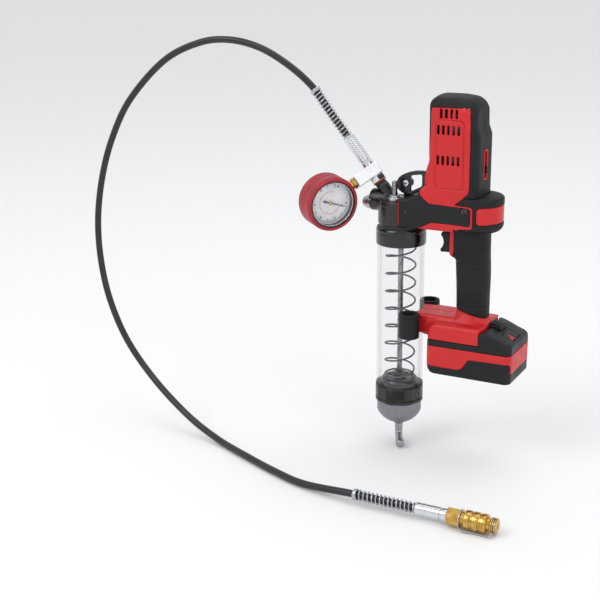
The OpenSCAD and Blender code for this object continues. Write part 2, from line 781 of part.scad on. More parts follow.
// the boot, case and dial stack up along the gauge's axis
module gauge_case() color("#2b2b2e") on_gauge() difference() {
    disc(case_r, 2 - boot_depth / 2, boot_depth / 2);
    disc(dial_r + 1, 6, boot_depth);
    disc(dial_r - 3, 5 - boot_depth / 2, 5);
    rotate([90, 0, 0]) cylinder(r = 6 + seat, h = 60);
    disc(1.5 + run, 4, 8);
}

module gauge_boot() color("#a8202e") on_gauge() difference() {
    disc(boot_r, -boot_depth / 2, boot_depth / 2 + 2);
    disc(case_r + seat, 2 - boot_depth / 2 - seat, boot_depth / 2);
    disc(dial_r + 2, 0, boot_depth);
    rotate([90, 0, 0]) cylinder(r = 6 + seat, h = 60);
}

module gauge_dial() color("white") on_gauge() ring(dial_r + 0.8, 1.5 + run, 6, 7);

module gauge_pointer() color("#19191b") on_gauge() rotate([0, 0, 135]) {
    disc(1.5, 5, 9.6);
    disc(2.6, 8, 9.6);
    translate([-0.9, -9, 8.4]) cube([1.8, dial_r + 2, 0.8]);
}

module gauge_lens() color("#e8eef2", 0.3) on_gauge() disc(dial_r + 0.8, boot_depth / 2 - 4, boot_depth / 2 - 2);

// ---- hose ----

// a smooth curve through the route's points, with route_steps pieces between two points
function spline(p0, p1, p2, p3, t) = 0.5 * (2 * p1 + (p2 - p0) * t
    + (2 * p0 - 5 * p1 + 4 * p2 - p3) * t * t + (3 * p1 - p0 - 3 * p2 + p3) * t * t * t);
function smooth(p) = let (n = len(p)) [
    for (i = [0:n - 2], k = [0:route_steps - 1])
        spline(p[max(i - 1, 0)], p[i], p[i + 1], p[min(i + 2, n - 1)], k / route_steps), p[n - 1]];

function unit(v) = v / norm(v);
function tangent(p, i) = unit(p[min(i + 1, len(p) - 1)] - p[max(i - 1, 0)]);

// one closed tube swept along the points of a path, which never runs along side
module tube(path, r, sides, side) {
    n = len(path);
    rings = [for (i = [0:n - 1]) let (t = tangent(path, i),
        u = unit(cross(t, side)), v = cross(t, u))
        for (k = [0:sides - 1]) path[i] + r * (cos(360 * k / sides) * u + sin(360 * k / sides) * v)];
    walls = [for (i = [0:n - 2], k = [0:sides - 1]) let (j = (k + 1) % sides, a = i * sides)
        [a + k, a + j, a + sides + j, a + sides + k]];
    polyhedron(rings, concat([[for (k = [sides - 1:-1:0]) k]], walls,
        [[for (k = [0:sides - 1]) (n - 1) * sides + k]]));
}

module hose() color("#19191b") tube(smooth(route), hose_r, 10, [0, 1, 0]);

module hose_fittings() color("#b9bcc2") {
    on_outlet() difference() {
        disc(ferrule_r, ferrule_start, outlet_len);
        disc(2.5, ferrule_start - 1, outlet_len + 1);
    }
    on_coupler(far_ferrule_x) difference() {
        cylinder(r = ferrule_r, h = far_ferrule_len);
        translate([0, 0, -1]) cylinder(r = 2.5, h = far_ferrule_len + 2);
    }
}

module spring_guards() color("#9a9da3") {
    length = norm(guard_end - hose_start);
    on_outlet() ring(guard_r, hose_r + guard_gap, outlet_len, outlet_len + length - 4);
    on_coupler(far_guard_x + 4) ring(guard_r, hose_r + guard_gap, 0, far_ferrule_x - far_guard_x - 4);
}

module coupler_body() color("#c9a24b") difference() {
    union() {
        on_coupler(hex_x) cylinder(r = 11, h = hex_len, $fn = 6);
        on_coupler(hex_x + hex_len - 1) cylinder(r = 8, h = body_len - hex_len + 1);
    }
    on_coupler(hex_x - 1) cylinder(r = 2.5, h = body_len);
    on_coupler(hex_x + body_len - 14) cylinder(r = nose_r - 1, h = 20);
}

module coupler_sleeve() color("#c9a24b") on_coupler(sleeve_x + sleeve_travel - 3) difference() {
    cylinder(r = sleeve_r, h = sleeve_len);
    translate([0, 0, -1]) cylinder(r = 8 + run, h = sleeve_len + 2);
    for (z = [8, 18]) translate([0, 0, z]) ring(sleeve_r + 1, sleeve_r - 0.8, 0, 2);
}

module dust_plug() color("#c9a24b") {
    on_coupler(hex_x + body_len + gap) cylinder(r = 9.5, h = 7);
    on_coupler(hex_x + body_len - 12) cylinder(r = nose_r - 1 - gap, h = 13);
}

place() housing_left();
place() housing_right();
place() tower_cover();
place() grip_cover();
place() rear_bumper();
place() rear_band();
place() side_plates();
place() housing_screws();
place() trigger();
place() trigger_switch();
place() switch_frame();
place() speed_slider();
place() motor();
place() motor_rotor();
place() ring_gear();
place() planet_carrier();
place() planet(0);  // planet_1
place() planet(120);  // planet_2
place() planet(240);  // planet_3
place() crank_bearing();
place() pump_plunger();
place() pump_head();
place() check_plug();
place() check_ball();
place() check_spring();
place() bleeder_seat();
place() bleeder_stem();
place() strap_ring();
place() strap_screw();
place() barrel_collar();
place() barrel();
place() follower();
place() follower_rod();
place() follower_spring();
place() spring_seat();
place() ring_nut();
place() end_cap();
place() rod_handle();
place() holder_sockets();
place() terminal_block();
place() battery_lower();
place() battery_upper();
place() battery_band();
place() battery_latch();
place() battery_cells();
place() outlet_adapter();
place() hex_nipple();
place() tee_block();
place() gauge_stem();
place() gauge_case();
place() gauge_boot();
place() gauge_dial();
place() gauge_pointer();
place() gauge_lens();
place() hose();
place() hose_fittings();
place() spring_guards();
place() coupler_body();
place() coupler_sleeve();
place() dust_plug();
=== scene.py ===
import functools
import json
import math

import bpy
import numpy as np
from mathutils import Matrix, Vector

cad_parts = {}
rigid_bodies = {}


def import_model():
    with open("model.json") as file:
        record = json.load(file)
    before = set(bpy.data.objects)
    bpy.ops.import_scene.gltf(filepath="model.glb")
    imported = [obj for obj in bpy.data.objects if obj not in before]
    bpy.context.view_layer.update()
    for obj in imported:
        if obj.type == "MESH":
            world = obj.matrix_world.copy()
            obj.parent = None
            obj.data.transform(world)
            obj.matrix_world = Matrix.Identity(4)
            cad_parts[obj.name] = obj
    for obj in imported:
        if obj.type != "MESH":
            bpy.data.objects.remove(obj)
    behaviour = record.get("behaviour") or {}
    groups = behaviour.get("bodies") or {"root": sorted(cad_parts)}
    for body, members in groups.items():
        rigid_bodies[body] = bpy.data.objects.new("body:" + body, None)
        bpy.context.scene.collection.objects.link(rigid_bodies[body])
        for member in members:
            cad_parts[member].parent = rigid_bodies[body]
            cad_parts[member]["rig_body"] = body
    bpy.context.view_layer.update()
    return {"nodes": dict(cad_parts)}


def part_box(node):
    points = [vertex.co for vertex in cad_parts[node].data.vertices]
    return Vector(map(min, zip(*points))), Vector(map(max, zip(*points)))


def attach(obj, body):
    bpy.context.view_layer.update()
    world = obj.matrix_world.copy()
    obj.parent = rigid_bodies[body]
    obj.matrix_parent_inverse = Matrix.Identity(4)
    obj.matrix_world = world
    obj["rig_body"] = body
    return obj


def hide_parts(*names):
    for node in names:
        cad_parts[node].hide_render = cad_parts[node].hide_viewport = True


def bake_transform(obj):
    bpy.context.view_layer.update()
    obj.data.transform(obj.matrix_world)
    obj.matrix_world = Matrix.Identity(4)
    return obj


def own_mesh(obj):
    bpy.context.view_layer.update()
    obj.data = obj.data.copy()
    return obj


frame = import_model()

import openvdb
from bpy.props import FloatProperty, FloatVectorProperty, IntProperty, PointerProperty
from mathutils import Matrix, Vector

bl_info = {
    "name": "Cordless grease gun",
    "version": (1, 0),
    "blender": (4, 5, 0),
    "location": "View3D > Sidebar > Grease gun",
    "description": "Builds a cordless grease gun with its hose, gauge and battery, piece by piece",
    "category": "Object",
}

MM = 0.001
GRIP = np.array((98.0, 0.0, 240.0))   # the frame's origin, in gun millimetres from the barrel's axis
FLOOR = -0.240                        # what the hose and the coupler lie on, in metres

# the hose's route in gun millimetres, from the gun to the coupler
ROUTE = [
    (-75, 0, 405), (-100, 0, 435), (-125, 0, 465), (-158, -2, 491), (-198, -5, 512), (-242, -8, 521),
    (-287, -12, 516), (-340, -18, 491), (-394, -25, 437), (-423, -32, 382), (-439, -39, 326),
    (-444, -47, 268), (-437, -55, 212), (-418, -64, 158), (-384, -74, 106), (-333, -85, 60),
    (-270, -100, 24), (-212, -117, 7), (-153, -142, 5), (-98, -165, 5), (-46, -182, 6),
    (22, -190, 12), (64, -190, 12), (106, -190, 12)]

# the outlet's own axis: Z along the hose's first stretch, from the pump head outwards
OUTLET_LEN = 89
ADAPTER_END = 18
NIPPLE_END = 27
TEE_W = 16
TEE_LEN = 36
TEE_BACK = -9
STEM_LEN = 12
TEE_TURN = -137
GAUGE_TURN = -34
BOOT_R = 34.5
FERRULE_START = NIPPLE_END + TEE_W

# places that several pieces share, in gun millimetres
COUPLER_START = 146          # where the far ferrule ends and the coupler begins
COUPLER_Y, COUPLER_Z = -190, 12
CHAIN_COLLAR_X = 162.1       # where the bead chain's collar sits on the coupler's band
CHAIN_ON_PLUG = 3.3          # how far along the plug's head its own collar sits
PLUG_Z = 324                 # height of the front plug's axis
STRAP_X, STRAP_Z = 7, 352.5  # the strap ring's screw
STRAP_DROP = 2.5             # how far the ring's outline lies below the heights that it is drawn at
SOCKET_X, SOCKET_Y = 27, 34  # the hose holder's cups, one on each side
BATTERY_SPLIT = 149.7        # height of the joint between the battery's two shells


# ---------------------------------------------------------------- colour and material helpers

def linear(text):
    """An sRGB hex colour as linear red, green and blue."""
    values = [int(text[i:i + 2], 16) / 255 for i in (1, 3, 5)]
    return tuple(v / 12.92 if v <= 0.04045 else ((v + 0.055) / 1.055) ** 2.4 for v in values)


def shade(colour, factor):
    """A linear colour made darker or lighter."""
    return tuple(min(c * factor, 1) for c in colour)


def add_node(tree, kind, settings=None, **links):
    """Adds a node; settings are its properties, links its sockets' values or the sockets that feed them."""
    node = tree.nodes.new(kind)
    for name, value in (settings or {}).items():
        setattr(node, name, value)
    for name, value in links.items():
        socket = node.inputs[int(name[1:])] if name[1:].isdigit() else node.inputs[name.replace("_", " ")]
        if isinstance(value, bpy.types.NodeSocket):
            tree.links.new(value, socket)
        else:
            socket.default_value = value
    return node


def new_material(name, colour, roughness, metallic=0.0, **values):
    """A material with one Principled shader; returns the material, its tree and the shader."""
    material = bpy.data.materials.new(name)
    material.use_nodes = True
    tree = material.node_tree
    shader = tree.nodes["Principled BSDF"]
    shader.inputs["Base Color"].default_value = (*colour, 1)
    shader.inputs["Roughness"].default_value = roughness
    shader.inputs["Metallic"].default_value = metallic
    for name, value in values.items():
        shader.inputs[name.replace("_", " ")].default_value = value
    material.diffuse_color = (*colour, 1)
    return material, tree, shader


def place_of(tree):
    """The point on the piece, in metres, that patterns are laid out from."""
    return add_node(tree, "ShaderNodeTexCoord").outputs["Object"]


def grain(tree, shader, size_mm, height_mm, strength=0.5, detail=3.0, spread=0.08):
    """A surface grain of a real size: bump, and a little change in roughness over it."""
    point = place_of(tree)
    noise = add_node(tree, "ShaderNodeTexNoise", Vector=point, Scale=1 / (size_mm * MM), Detail=detail)
    bump = add_node(tree, "ShaderNodeBump", Height=noise.outputs["Fac"], Strength=strength,
                    Distance=height_mm * MM)
    tree.links.new(bump.outputs["Normal"], shader.inputs["Normal"])
    base = shader.inputs["Roughness"].default_value
    worn = add_node(tree, "ShaderNodeTexNoise", Vector=point, Scale=1 / (18 * MM), Detail=4.0)
    rough = add_node(tree, "ShaderNodeMapRange", Value=worn.outputs["Fac"], From_Min=0.3, From_Max=0.7,
                     To_Min=base - spread, To_Max=base + spread)
    tree.links.new(rough.outputs["Result"], shader.inputs["Roughness"])
    return noise


def mottle(tree, shader, low, high, size_mm):
    """Two near colours mixed by a soft noise of a real size."""
    point = place_of(tree)
    noise = add_node(tree, "ShaderNodeTexNoise", Vector=point, Scale=1 / (size_mm * MM), Detail=3.0)
    ramp = add_node(tree, "ShaderNodeValToRGB", Fac=noise.outputs["Fac"])
    ramp.color_ramp.elements[0].position = 0.35
    ramp.color_ramp.elements[1].position = 0.65
    ramp.color_ramp.elements[0].color = (*low, 1)
    ramp.color_ramp.elements[1].color = (*high, 1)
    tree.links.new(ramp.outputs["Color"], shader.inputs["Base Color"])


def turned_lines(tree, shader, pitch_mm, height_mm, axis="Z"):
    """Fine tool lines left by a lathe, as bump."""
    point = place_of(tree)
    wave = add_node(tree, "ShaderNodeTexWave", {"bands_direction": axis}, Vector=point,
                    Scale=1 / (pitch_mm * MM * 3.14), Distortion=1.5, Detail=2.0)
    bump = add_node(tree, "ShaderNodeBump", Height=wave.outputs["Fac"], Strength=0.35,
                    Distance=height_mm * MM)
    tree.links.new(bump.outputs["Normal"], shader.inputs["Normal"])


def look():
    """The colours and sizes that a user may change."""
    return bpy.context.scene.grease_gun


# ---------------------------------------------------------------- materials, made once when first asked for

def red_abs():
    # ABS, injection moulded and spark-textured: an even satin red with a fine matt grain
    colour = tuple(look().red)
    material, tree, shader = new_material("Red_ABS_moulded", colour, 0.4, Specular_IOR_Level=0.4)
    mottle(tree, shader, shade(colour, 0.94), shade(colour, 1.05), 40)
    grain(tree, shader, 0.9, 0.05, 0.35)
    return material


def black_elastomer():
    # thermoplastic elastomer moulded over the housing: soft matt black that lights up dark grey at the edges
    colour = tuple(look().black)
    material, tree, shader = new_material("Black_TPE_overmoulded", colour, 0.6, Specular_IOR_Level=0.28)
    mottle(tree, shader, shade(colour, 0.85), shade(colour, 1.15), 30)
    grain(tree, shader, 1.1, 0.06, 0.45)
    return material


def black_abs():
    # glass-filled nylon, moulded: black with a low satin shine, used on the battery and the plates
    colour = shade(tuple(look().black), 0.85)
    material, tree, shader = new_material("Black_nylon_moulded", colour, 0.45, Specular_IOR_Level=0.3)
    mottle(tree, shader, shade(colour, 0.85), shade(colour, 1.15), 35)
    grain(tree, shader, 0.8, 0.05, 0.4)
    return material


def black_casting():
    # die-cast aluminium, powder coated: gloss black with the soft orange peel of the coat
    material, tree, shader = new_material("Black_casting_powder_coated", linear("#0E0E0F"), 0.33, Coat_Weight=0.2,
                                          Coat_Roughness=0.2)
    grain(tree, shader, 1.6, 0.07, 0.5)
    return material


def black_gloss():
    # acetal, turned and polished: near-black with clear highlights, on the ring nut and the seat
    material, tree, shader = new_material("Black_acetal_turned", linear("#0B0B0C"), 0.2, Coat_Weight=0.2,
                                          Coat_Roughness=0.12)
    grain(tree, shader, 2.0, 0.03, 0.3, spread=0.05)
    return material


def hose_rubber():
    # nitrile rubber hose, extruded: black with a faint sheen and shallow marks along it
    material, tree, shader = new_material("Nitrile_rubber_extruded", linear("#161617"), 0.38, Coat_Weight=0.1)
    mottle(tree, shader, linear("#121213"), linear("#1d1d1f"), 12)
    grain(tree, shader, 1.4, 0.05, 0.5)
    return material


def clear_tube():
    # acrylic tube, extruded: clear, a little grey at its edges where the wall is seen end on
    material, tree, shader = new_material("Acrylic_tube_extruded", linear("#BCC0C4"), 0.06,
                                          Specular_IOR_Level=0.6, IOR=1.49)
    edge = add_node(tree, "ShaderNodeLayerWeight", Blend=0.35)
    clear = add_node(tree, "ShaderNodeMapRange", Value=edge.outputs["Facing"], From_Min=0.35, From_Max=1.0,
                     To_Min=0.045, To_Max=0.5)
    tree.links.new(clear.outputs["Result"], shader.inputs["Alpha"])
    return material


def clear_lens():
    # polycarbonate gauge lens, moulded: clear with a bright reflection
    material, tree, shader = new_material("Polycarbonate_lens_moulded", linear("#F4F6F8"), 0.04,
                                          Specular_IOR_Level=0.7, IOR=1.58)
    edge = add_node(tree, "ShaderNodeLayerWeight", Blend=0.3)
    clear = add_node(tree, "ShaderNodeMapRange", Value=edge.outputs["Facing"], From_Min=0.3, From_Max=1.0,
                     To_Min=0.06, To_Max=0.4)
    tree.links.new(clear.outputs["Result"], shader.inputs["Alpha"])
    return material


def chrome():
    # steel, chrome plated: a bright mirror with faint blur
    material, tree, shader = new_material("Steel_chrome_plated", linear("#D9DBDE"), 0.14, 1.0)
    grain(tree, shader, 2.5, 0.02, 0.25, spread=0.05)
    return material


def bright_tee():
    # steel, nickel plated and bead blasted: white satin metal
    material, tree, shader = new_material("Steel_nickel_plated_blasted", linear("#F2F3F5"), 0.3, 0.75)
    grain(tree, shader, 0.7, 0.03, 0.3)
    return material


def zinc_steel():
    # steel, zinc plated: grey metal with a soft shine
    material, tree, shader = new_material("Steel_zinc_plated", linear("#B9BCC1"), 0.28, 1.0)
    grain(tree, shader, 1.2, 0.03, 0.35)
    return material


def spring_steel():
    # spring wire, drawn and oiled: mid grey metal with drawing marks
    material, tree, shader = new_material("Spring_steel_drawn", linear("#5E6064"), 0.34, 1.0)
    grain(tree, shader, 0.8, 0.03, 0.4)
    return material


def dark_steel():
    # steel, black oxide: dark warm grey metal, worn a little brighter in places
    material, tree, shader = new_material("Steel_black_oxide", linear("#4A4A4D"), 0.42, 0.9)
    mottle(tree, shader, linear("#3A3A3C"), linear("#6A6A6D"), 9)
    grain(tree, shader, 1.2, 0.06, 0.5)
    return material


def ground_steel():
    # steel rod, ground: mid grey metal that catches a narrow highlight along its length
    material, tree, shader = new_material("Steel_rod_ground", linear("#8E9195"), 0.2, 1.0)
    grain(tree, shader, 1.6, 0.02, 0.25, spread=0.04)
    return material


def cast_grey_steel():
    # steel, hot formed and tumbled: pale grey metal with soft highlights
    material, tree, shader = new_material("Steel_formed_tumbled", linear("#A4A5A8"), 0.36, 1.0)
    grain(tree, shader, 1.4, 0.05, 0.45)
    return material


def cast_aluminium():
    # aluminium, cast and tumbled: satin grey
    material, tree, shader = new_material("Aluminium_cast_tumbled", linear("#8C8E92"), 0.46, 0.85)
    grain(tree, shader, 0.9, 0.05, 0.45)
    return material


def brass():
    # brass, turned: warm yellow metal with fine tool lines
    material, tree, shader = new_material("Brass_turned", linear("#C9A355"), 0.26, 1.0)
    mottle(tree, shader, linear("#B98E42"), linear("#D6B468"), 8)
    turned_lines(tree, shader, 1.2, 0.02, "X")
    return material


def copper():
    # copper sealing washer, stamped: reddish brown metal
    material, tree, shader = new_material("Copper_stamped", linear("#B0694A"), 0.35, 1.0)
    grain(tree, shader, 1.0, 0.04, 0.4)
    return material


def red_rubber():
    # natural rubber boot, moulded: deep red, matt, darker in patches from handling
    colour = linear("#A01E2B")
    material, tree, shader = new_material("Red_rubber_moulded", colour, 0.5, Coat_Weight=0.08, Coat_Roughness=0.4)
    mottle(tree, shader, shade(colour, 0.82), shade(colour, 1.12), 14)
    grain(tree, shader, 1.0, 0.06, 0.5)
    return material


def dial_enamel():
    # aluminium dial, stove enamelled: cool white, faintly uneven
    material, tree, shader = new_material("White_enamel_baked", linear("#E8EAEC"), 0.4)
    mottle(tree, shader, linear("#E2E4E7"), linear("#EFF0F2"), 10)
    return material


def dial_ink():
    # screen-printed ink on the dial: flat black
    material, tree, shader = new_material("Black_ink_printed", linear("#232428"), 0.6)
    grain(tree, shader, 0.5, 0.01, 0.2)
    return material


def dial_pink():
    # screen-printed ink on the dial: a pale red
    material, tree, shader = new_material("Pale_red_ink_printed", linear("#E3B4BA"), 0.6)
    grain(tree, shader, 0.5, 0.01, 0.2)
    return material


def copper_winding():
    # enamelled copper wire, wound: brown-orange with the lines of its turns
    material, tree, shader = new_material("Copper_wire_wound", linear("#9C5A34"), 0.35, 1.0)
    turned_lines(tree, shader, 0.9, 0.2)
    return material


def gear_steel():
    # sintered steel gears: plain grey metal with a fine grain
    material, tree, shader = new_material("Steel_sintered", linear("#9A9C9F"), 0.38, 1.0)
    grain(tree, shader, 0.7, 0.04, 0.4)
    return material


def cell_wrap():
    # PVC shrink wrap on the cells: blue with a low shine
    material, tree, shader = new_material("Blue_PVC_shrink_wrap", linear("#2F5F96"), 0.35, Coat_Weight=0.2)
    grain(tree, shader, 6.0, 0.06, 0.4)
    return material


def floor_paper():
    # paper backdrop, matt: very pale grey with no pattern that shows
    material, tree, shader = new_material("Pale_paper_backdrop", linear("#F4F4F4"), 0.9)
    grain(tree, shader, 3.0, 0.02, 0.1, spread=0.03)
    return material


FINISHES = {}


def finish(maker):
    """The material that a maker function gives, made once."""
    if maker.__name__ not in FINISHES:
        FINISHES[maker.__name__] = maker()
    return FINISHES[maker.__name__]


# ---------------------------------------------------------------- shapes: a shape is (points, faces), in gun millimetres

def span(node):
    """A CAD node's lowest and highest corner, in gun millimetres."""
    low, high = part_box(node)
    return np.array(low) / MM + GRIP, np.array(high) / MM + GRIP


def joined(*shapes):
    """Several shapes as one."""
    points, faces, base = [], [], 0
    for shape_points, shape_faces in shapes:
        points.append(np.asarray(shape_points, float))
        faces += [tuple(base + i for i in face) for face in shape_faces]
        base += len(shape_points)
    return np.concatenate(points), faces


def placed(shape, matrix):
    """A shape moved by a 4 by 4 matrix."""
    turn = np.array(matrix)
    return np.asarray(shape[0]) @ turn[:3, :3].T + turn[:3, 3], shape[1]


def at(x, y, z):
    return Matrix.Translation((x, y, z))


def turned(degrees, axis):
    return Matrix.Rotation(math.radians(degrees), 4, axis)


def soften(points, radius, steps=3):
    """Rounds a closed outline's corners; a third number on a point is that corner's own radius."""
    rounded = []
    for i, corner in enumerate(points):
        before, here, after = (np.array(points[(i + k) % len(points)][:2], float) for k in (-1, 0, 1))
        reach = corner[2] if len(corner) > 2 else radius
        back, ahead = before - here, after - here
        reach = min(reach, 0.48 * np.linalg.norm(back), 0.48 * np.linalg.norm(ahead))
        if reach <= 0:
            rounded.append(tuple(here))
            continue
        back, ahead = back / np.linalg.norm(back), ahead / np.linalg.norm(ahead)
        for k in range(steps + 1):
            t = k / steps
            rounded.append(tuple((1 - t) ** 2 * (here + reach * back) + 2 * t * (1 - t) * here
                                 + t * t * (here + reach * ahead)))
    return rounded


def lathe(profile, edge=0.4, sides=64, steps=2):
    """A solid turned about Z from a closed outline of (radius, height), with its corners rounded by edge."""
    outline = soften([(p[0], p[1], 0 if p[0] == 0 else (p[2] if len(p) > 2 else edge)) for p in profile],
                     edge, steps)
    angles = [2 * math.pi * k / sides for k in range(sides)]
    points, rings, faces = [], [], []
    for radius, height in outline:
        start = len(points)
        if radius < 1e-6:
            points.append((0, 0, height))
            rings.append([start])
        else:
            points += [(radius * math.cos(a), radius * math.sin(a), height) for a in angles]
            rings.append(range(start, start + sides))
    for low, high in zip(rings, rings[1:] + rings[:1]):
        for k in range(sides):
            j = (k + 1) % sides
            corners = (low[k % len(low)], low[j % len(low)], high[j % len(high)], high[k % len(high)])
            face = tuple(dict.fromkeys(corners))
            if len(face) > 2:
                faces.append(face)
    return np.array(points), faces


def fluted(shape, low, high, depth, every=2):
    """Presses flutes into a turned shape between two heights: every second line of points goes in."""
    points = np.array(shape[0])
    angle = np.arctan2(points[:, 1], points[:, 0])
    band = (points[:, 2] > low) & (points[:, 2] < high)
    sides = np.round(angle / (2 * math.pi) * 96).astype(int)
    press = np.where(band & (sides % every == 0), depth, 0.0)
    reach = np.hypot(points[:, 0], points[:, 1])
    points[:, :2] *= (1 - press / np.maximum(reach, 1e-6))[:, None]
    return points, shape[1]


def prism(outline, low, high):
    """An outline in X and Y, pulled up from low to high."""
    count = len(outline)
    points = [(p[0], p[1], low) for p in outline] + [(p[0], p[1], high) for p in outline]
    sides = [(i, (i + 1) % count, count + (i + 1) % count, count + i) for i in range(count)]
    return np.array(points), [tuple(range(count))[::-1], tuple(range(count, 2 * count)), *sides]


def block(low, high):
    """A plain box shape, which its piece bevels."""
    (x0, y0, z0), (x1, y1, z1) = low, high
    return prism([(x0, y0), (x1, y0), (x1, y1), (x0, y1)], z0, z1)


def hexagon(radius):
    return [(radius * math.cos(math.pi * k / 3), radius * math.sin(math.pi * k / 3)) for k in range(6)]


def frames_along(path, side, loop=False):
    """Tangent and two cross directions at each point of a path, turning as little as they can."""
    if loop:
        ahead = np.roll(path, -1, 0) - np.roll(path, 1, 0)
    else:
        ahead = np.gradient(path, axis=0)
    ahead = ahead / np.linalg.norm(ahead, axis=1)[:, None]
    across = [np.cross(ahead[0], side)]
    for t in ahead:
        u = across[-1] - t * (across[-1] @ t)
        across.append(u / np.linalg.norm(u))
    across = np.array(across[1:])
    return ahead, across, np.cross(ahead, across)


def swept(path, radius, sides=12, side=(0, 0, 1), loop=False):
    """A round tube along a path; radius is one number, or one for each point."""
    path = np.asarray(path, float)
    radius = np.broadcast_to(np.asarray(radius, float), (len(path),))
    _, across, up = frames_along(path, np.asarray(side, float), loop)
    angle = np.arange(sides) * 2 * math.pi / sides
    ring = across[:, None] * np.cos(angle)[None, :, None] + up[:, None] * np.sin(angle)[None, :, None]
    points = (path[:, None] + ring * radius[:, None, None]).reshape(-1, 3)
    count = len(path)
    faces = []
    for i in range(count if loop else count - 1):
        j = (i + 1) % count
        faces += [(i * sides + k, i * sides + (k + 1) % sides, j * sides + (k + 1) % sides, j * sides + k)
                  for k in range(sides)]
    if not loop:
        faces += [tuple(range(sides))[::-1], tuple(range((count - 1) * sides, count * sides))]
    return points, faces


def smooth_path(points, steps):
    """A Catmull-Rom curve through points, with steps pieces between two of them."""
    p = np.array([points[0], *points, points[-1]], float)
    t = np.arange(steps)[:, None] / steps
    parts = [0.5 * (2 * b + (c - a) * t + (2 * a - 5 * b + 4 * c - d) * t ** 2 + (3 * b - a - 3 * c + d) * t ** 3)
             for a, b, c, d in zip(p, p[1:], p[2:], p[3:])]
    return np.concatenate([*parts, p[-1:]])


def length_of(path):
    return float(np.linalg.norm(np.diff(path, axis=0), axis=1).sum())


def resampled(path, count, start=0.0, end=None):
    """Points evenly along a path, between two distances from its start."""
    gone = np.concatenate([[0], np.cumsum(np.linalg.norm(np.diff(path, axis=0), axis=1))])
    want = np.linspace(start, gone[-1] if end is None else end, count)
    return np.stack([np.interp(want, gone, path[:, k]) for k in range(3)], 1)


def coiled(path, radius, wire, turns, steps=20, sides=8, side=(0, 1, 0)):
    """A wire coiled round a path in even turns."""
    line = resampled(path, int(turns * steps) + 1)
    _, across, up = frames_along(line, np.asarray(side, float))
    angle = np.arange(len(line)) * 2 * math.pi / steps
    wound = line + radius * (across * np.cos(angle)[:, None] + up * np.sin(angle)[:, None])
    return swept(wound, wire / 2, sides, side=(0.3, 0.2, 1))


# ---------------------------------------------------------------- moulded shapes: distance fields meshed to a skin

def smooth_step(t):
    t = np.clip(t, 0, 1)
    return t * t * (3 - 2 * t)


def all_of(*fields):
    """Where every field overlaps, with sharp edges."""
    return functools.reduce(np.maximum, fields)


def any_of(*fields):
    """Several fields together, with no fillet."""
    return functools.reduce(np.minimum, fields)


def both(a, b, radius):
    """Where two fields overlap, with the edge between them rounded."""
    return np.minimum(-radius, np.maximum(a, b)) + np.hypot(np.maximum(radius + a, 0), np.maximum(radius + b, 0))


def either(a, b, radius):
    """Two fields together, with a fillet where they meet."""
    return np.maximum(radius, np.minimum(a, b)) - np.hypot(np.maximum(radius - a, 0), np.maximum(radius - b, 0))


def rounded_rect(u, v, u0, u1, v0, v1, radius):
    """Distance to a rectangle with round corners, negative inside."""
    a = np.abs(u - (u0 + u1) / 2) - (u1 - u0) / 2 + radius
    b = np.abs(v - (v0 + v1) / 2) - (v1 - v0) / 2 + radius
    return np.hypot(np.maximum(a, 0), np.maximum(b, 0)) + np.minimum(np.maximum(a, b), 0) - radius


def outline_field(u, v, points):
    """Distance to a closed outline, negative inside."""
    u, v = np.broadcast_arrays(u, v)
    nearest = np.full(u.shape, 1e9)
    inside = np.zeros(u.shape, bool)
    for (au, av), (bu, bv) in zip(points, points[1:] + points[:1]):
        eu, ev = bu - au, bv - av
        t = np.clip(((u - au) * eu + (v - av) * ev) / max(eu * eu + ev * ev, 1e-9), 0, 1)
        nearest = np.minimum(nearest, (u - au - t * eu) ** 2 + (v - av - t * ev) ** 2)
        inside ^= ((av <= v) != (bv <= v)) & (u < au + (v - av) * eu / (ev or 1))
    return np.where(inside, -1, 1) * np.sqrt(nearest)


class Space:
    """A box of space cut into cells, in which fields are worked out."""

    def __init__(self, low, high, cell):
        self.low, self.cell = np.array(low, float), cell
        counts = np.ceil((np.array(high) - self.low) / cell).astype(int) + 1
        x, y, z = (self.low[k] + cell * np.arange(counts[k], dtype=np.float32) for k in range(3))
        self.x, self.y, self.z = x[:, None, None], y[None, :, None], z[None, None, :]
        self.counts = tuple(counts)

    def skin(self, field):
        """The shape whose surface is where the field is zero."""
        values = np.broadcast_to(field, self.counts).astype(np.float32)
        values = np.clip(values, -3 * self.cell, 3 * self.cell)
        for k in range(3):       # the outermost cells stay outside, so that every skin is closed
            edge = [slice(None)] * 3
            for edge[k] in (0, -1):
                values[tuple(edge)] = self.cell
        grid = openvdb.FloatGrid(3 * self.cell)
        grid.copyFromArray(values)
        grid.transform = openvdb.createLinearTransform(voxelSize=self.cell)
        points, triangles, quads = grid.convertToPolygons(isovalue=0.0, adaptivity=0.0)
        faces = [tuple(f) for f in triangles.tolist()] + [tuple(f)[::-1] for f in quads.tolist()]
        return points.astype(float) + self.low, faces


# ---------------------------------------------------------------- pieces

def piece(name, shape, maker, body="gun", nodes=(), edge=0.0, sharp=38):
    """One finished object: its mesh, material, body and the CAD nodes that it stands for."""
    mesh = bpy.data.meshes.new(name)
    mesh.from_pydata((np.asarray(shape[0]) - GRIP) * MM, [], shape[1])
    mesh.update()
    mesh.polygons.foreach_set("use_smooth", np.ones(len(mesh.polygons), bool))
    obj = bpy.data.objects.new(name, mesh)
    bpy.context.scene.collection.objects.link(obj)
    mesh.materials.append(finish(maker))
    if edge:
        bevel = obj.modifiers.new("soft edges", "BEVEL")
        bevel.width = edge * MM
        bevel.segments = 2
        bevel.limit_method = "ANGLE"
        bevel.angle_limit = math.radians(sharp)
        bevel.harden_normals = False
    if sharp:
        mesh.set_sharp_from_angle(angle=math.radians(sharp))
    if nodes:
        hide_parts(*nodes)
    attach(obj, body)
    return obj


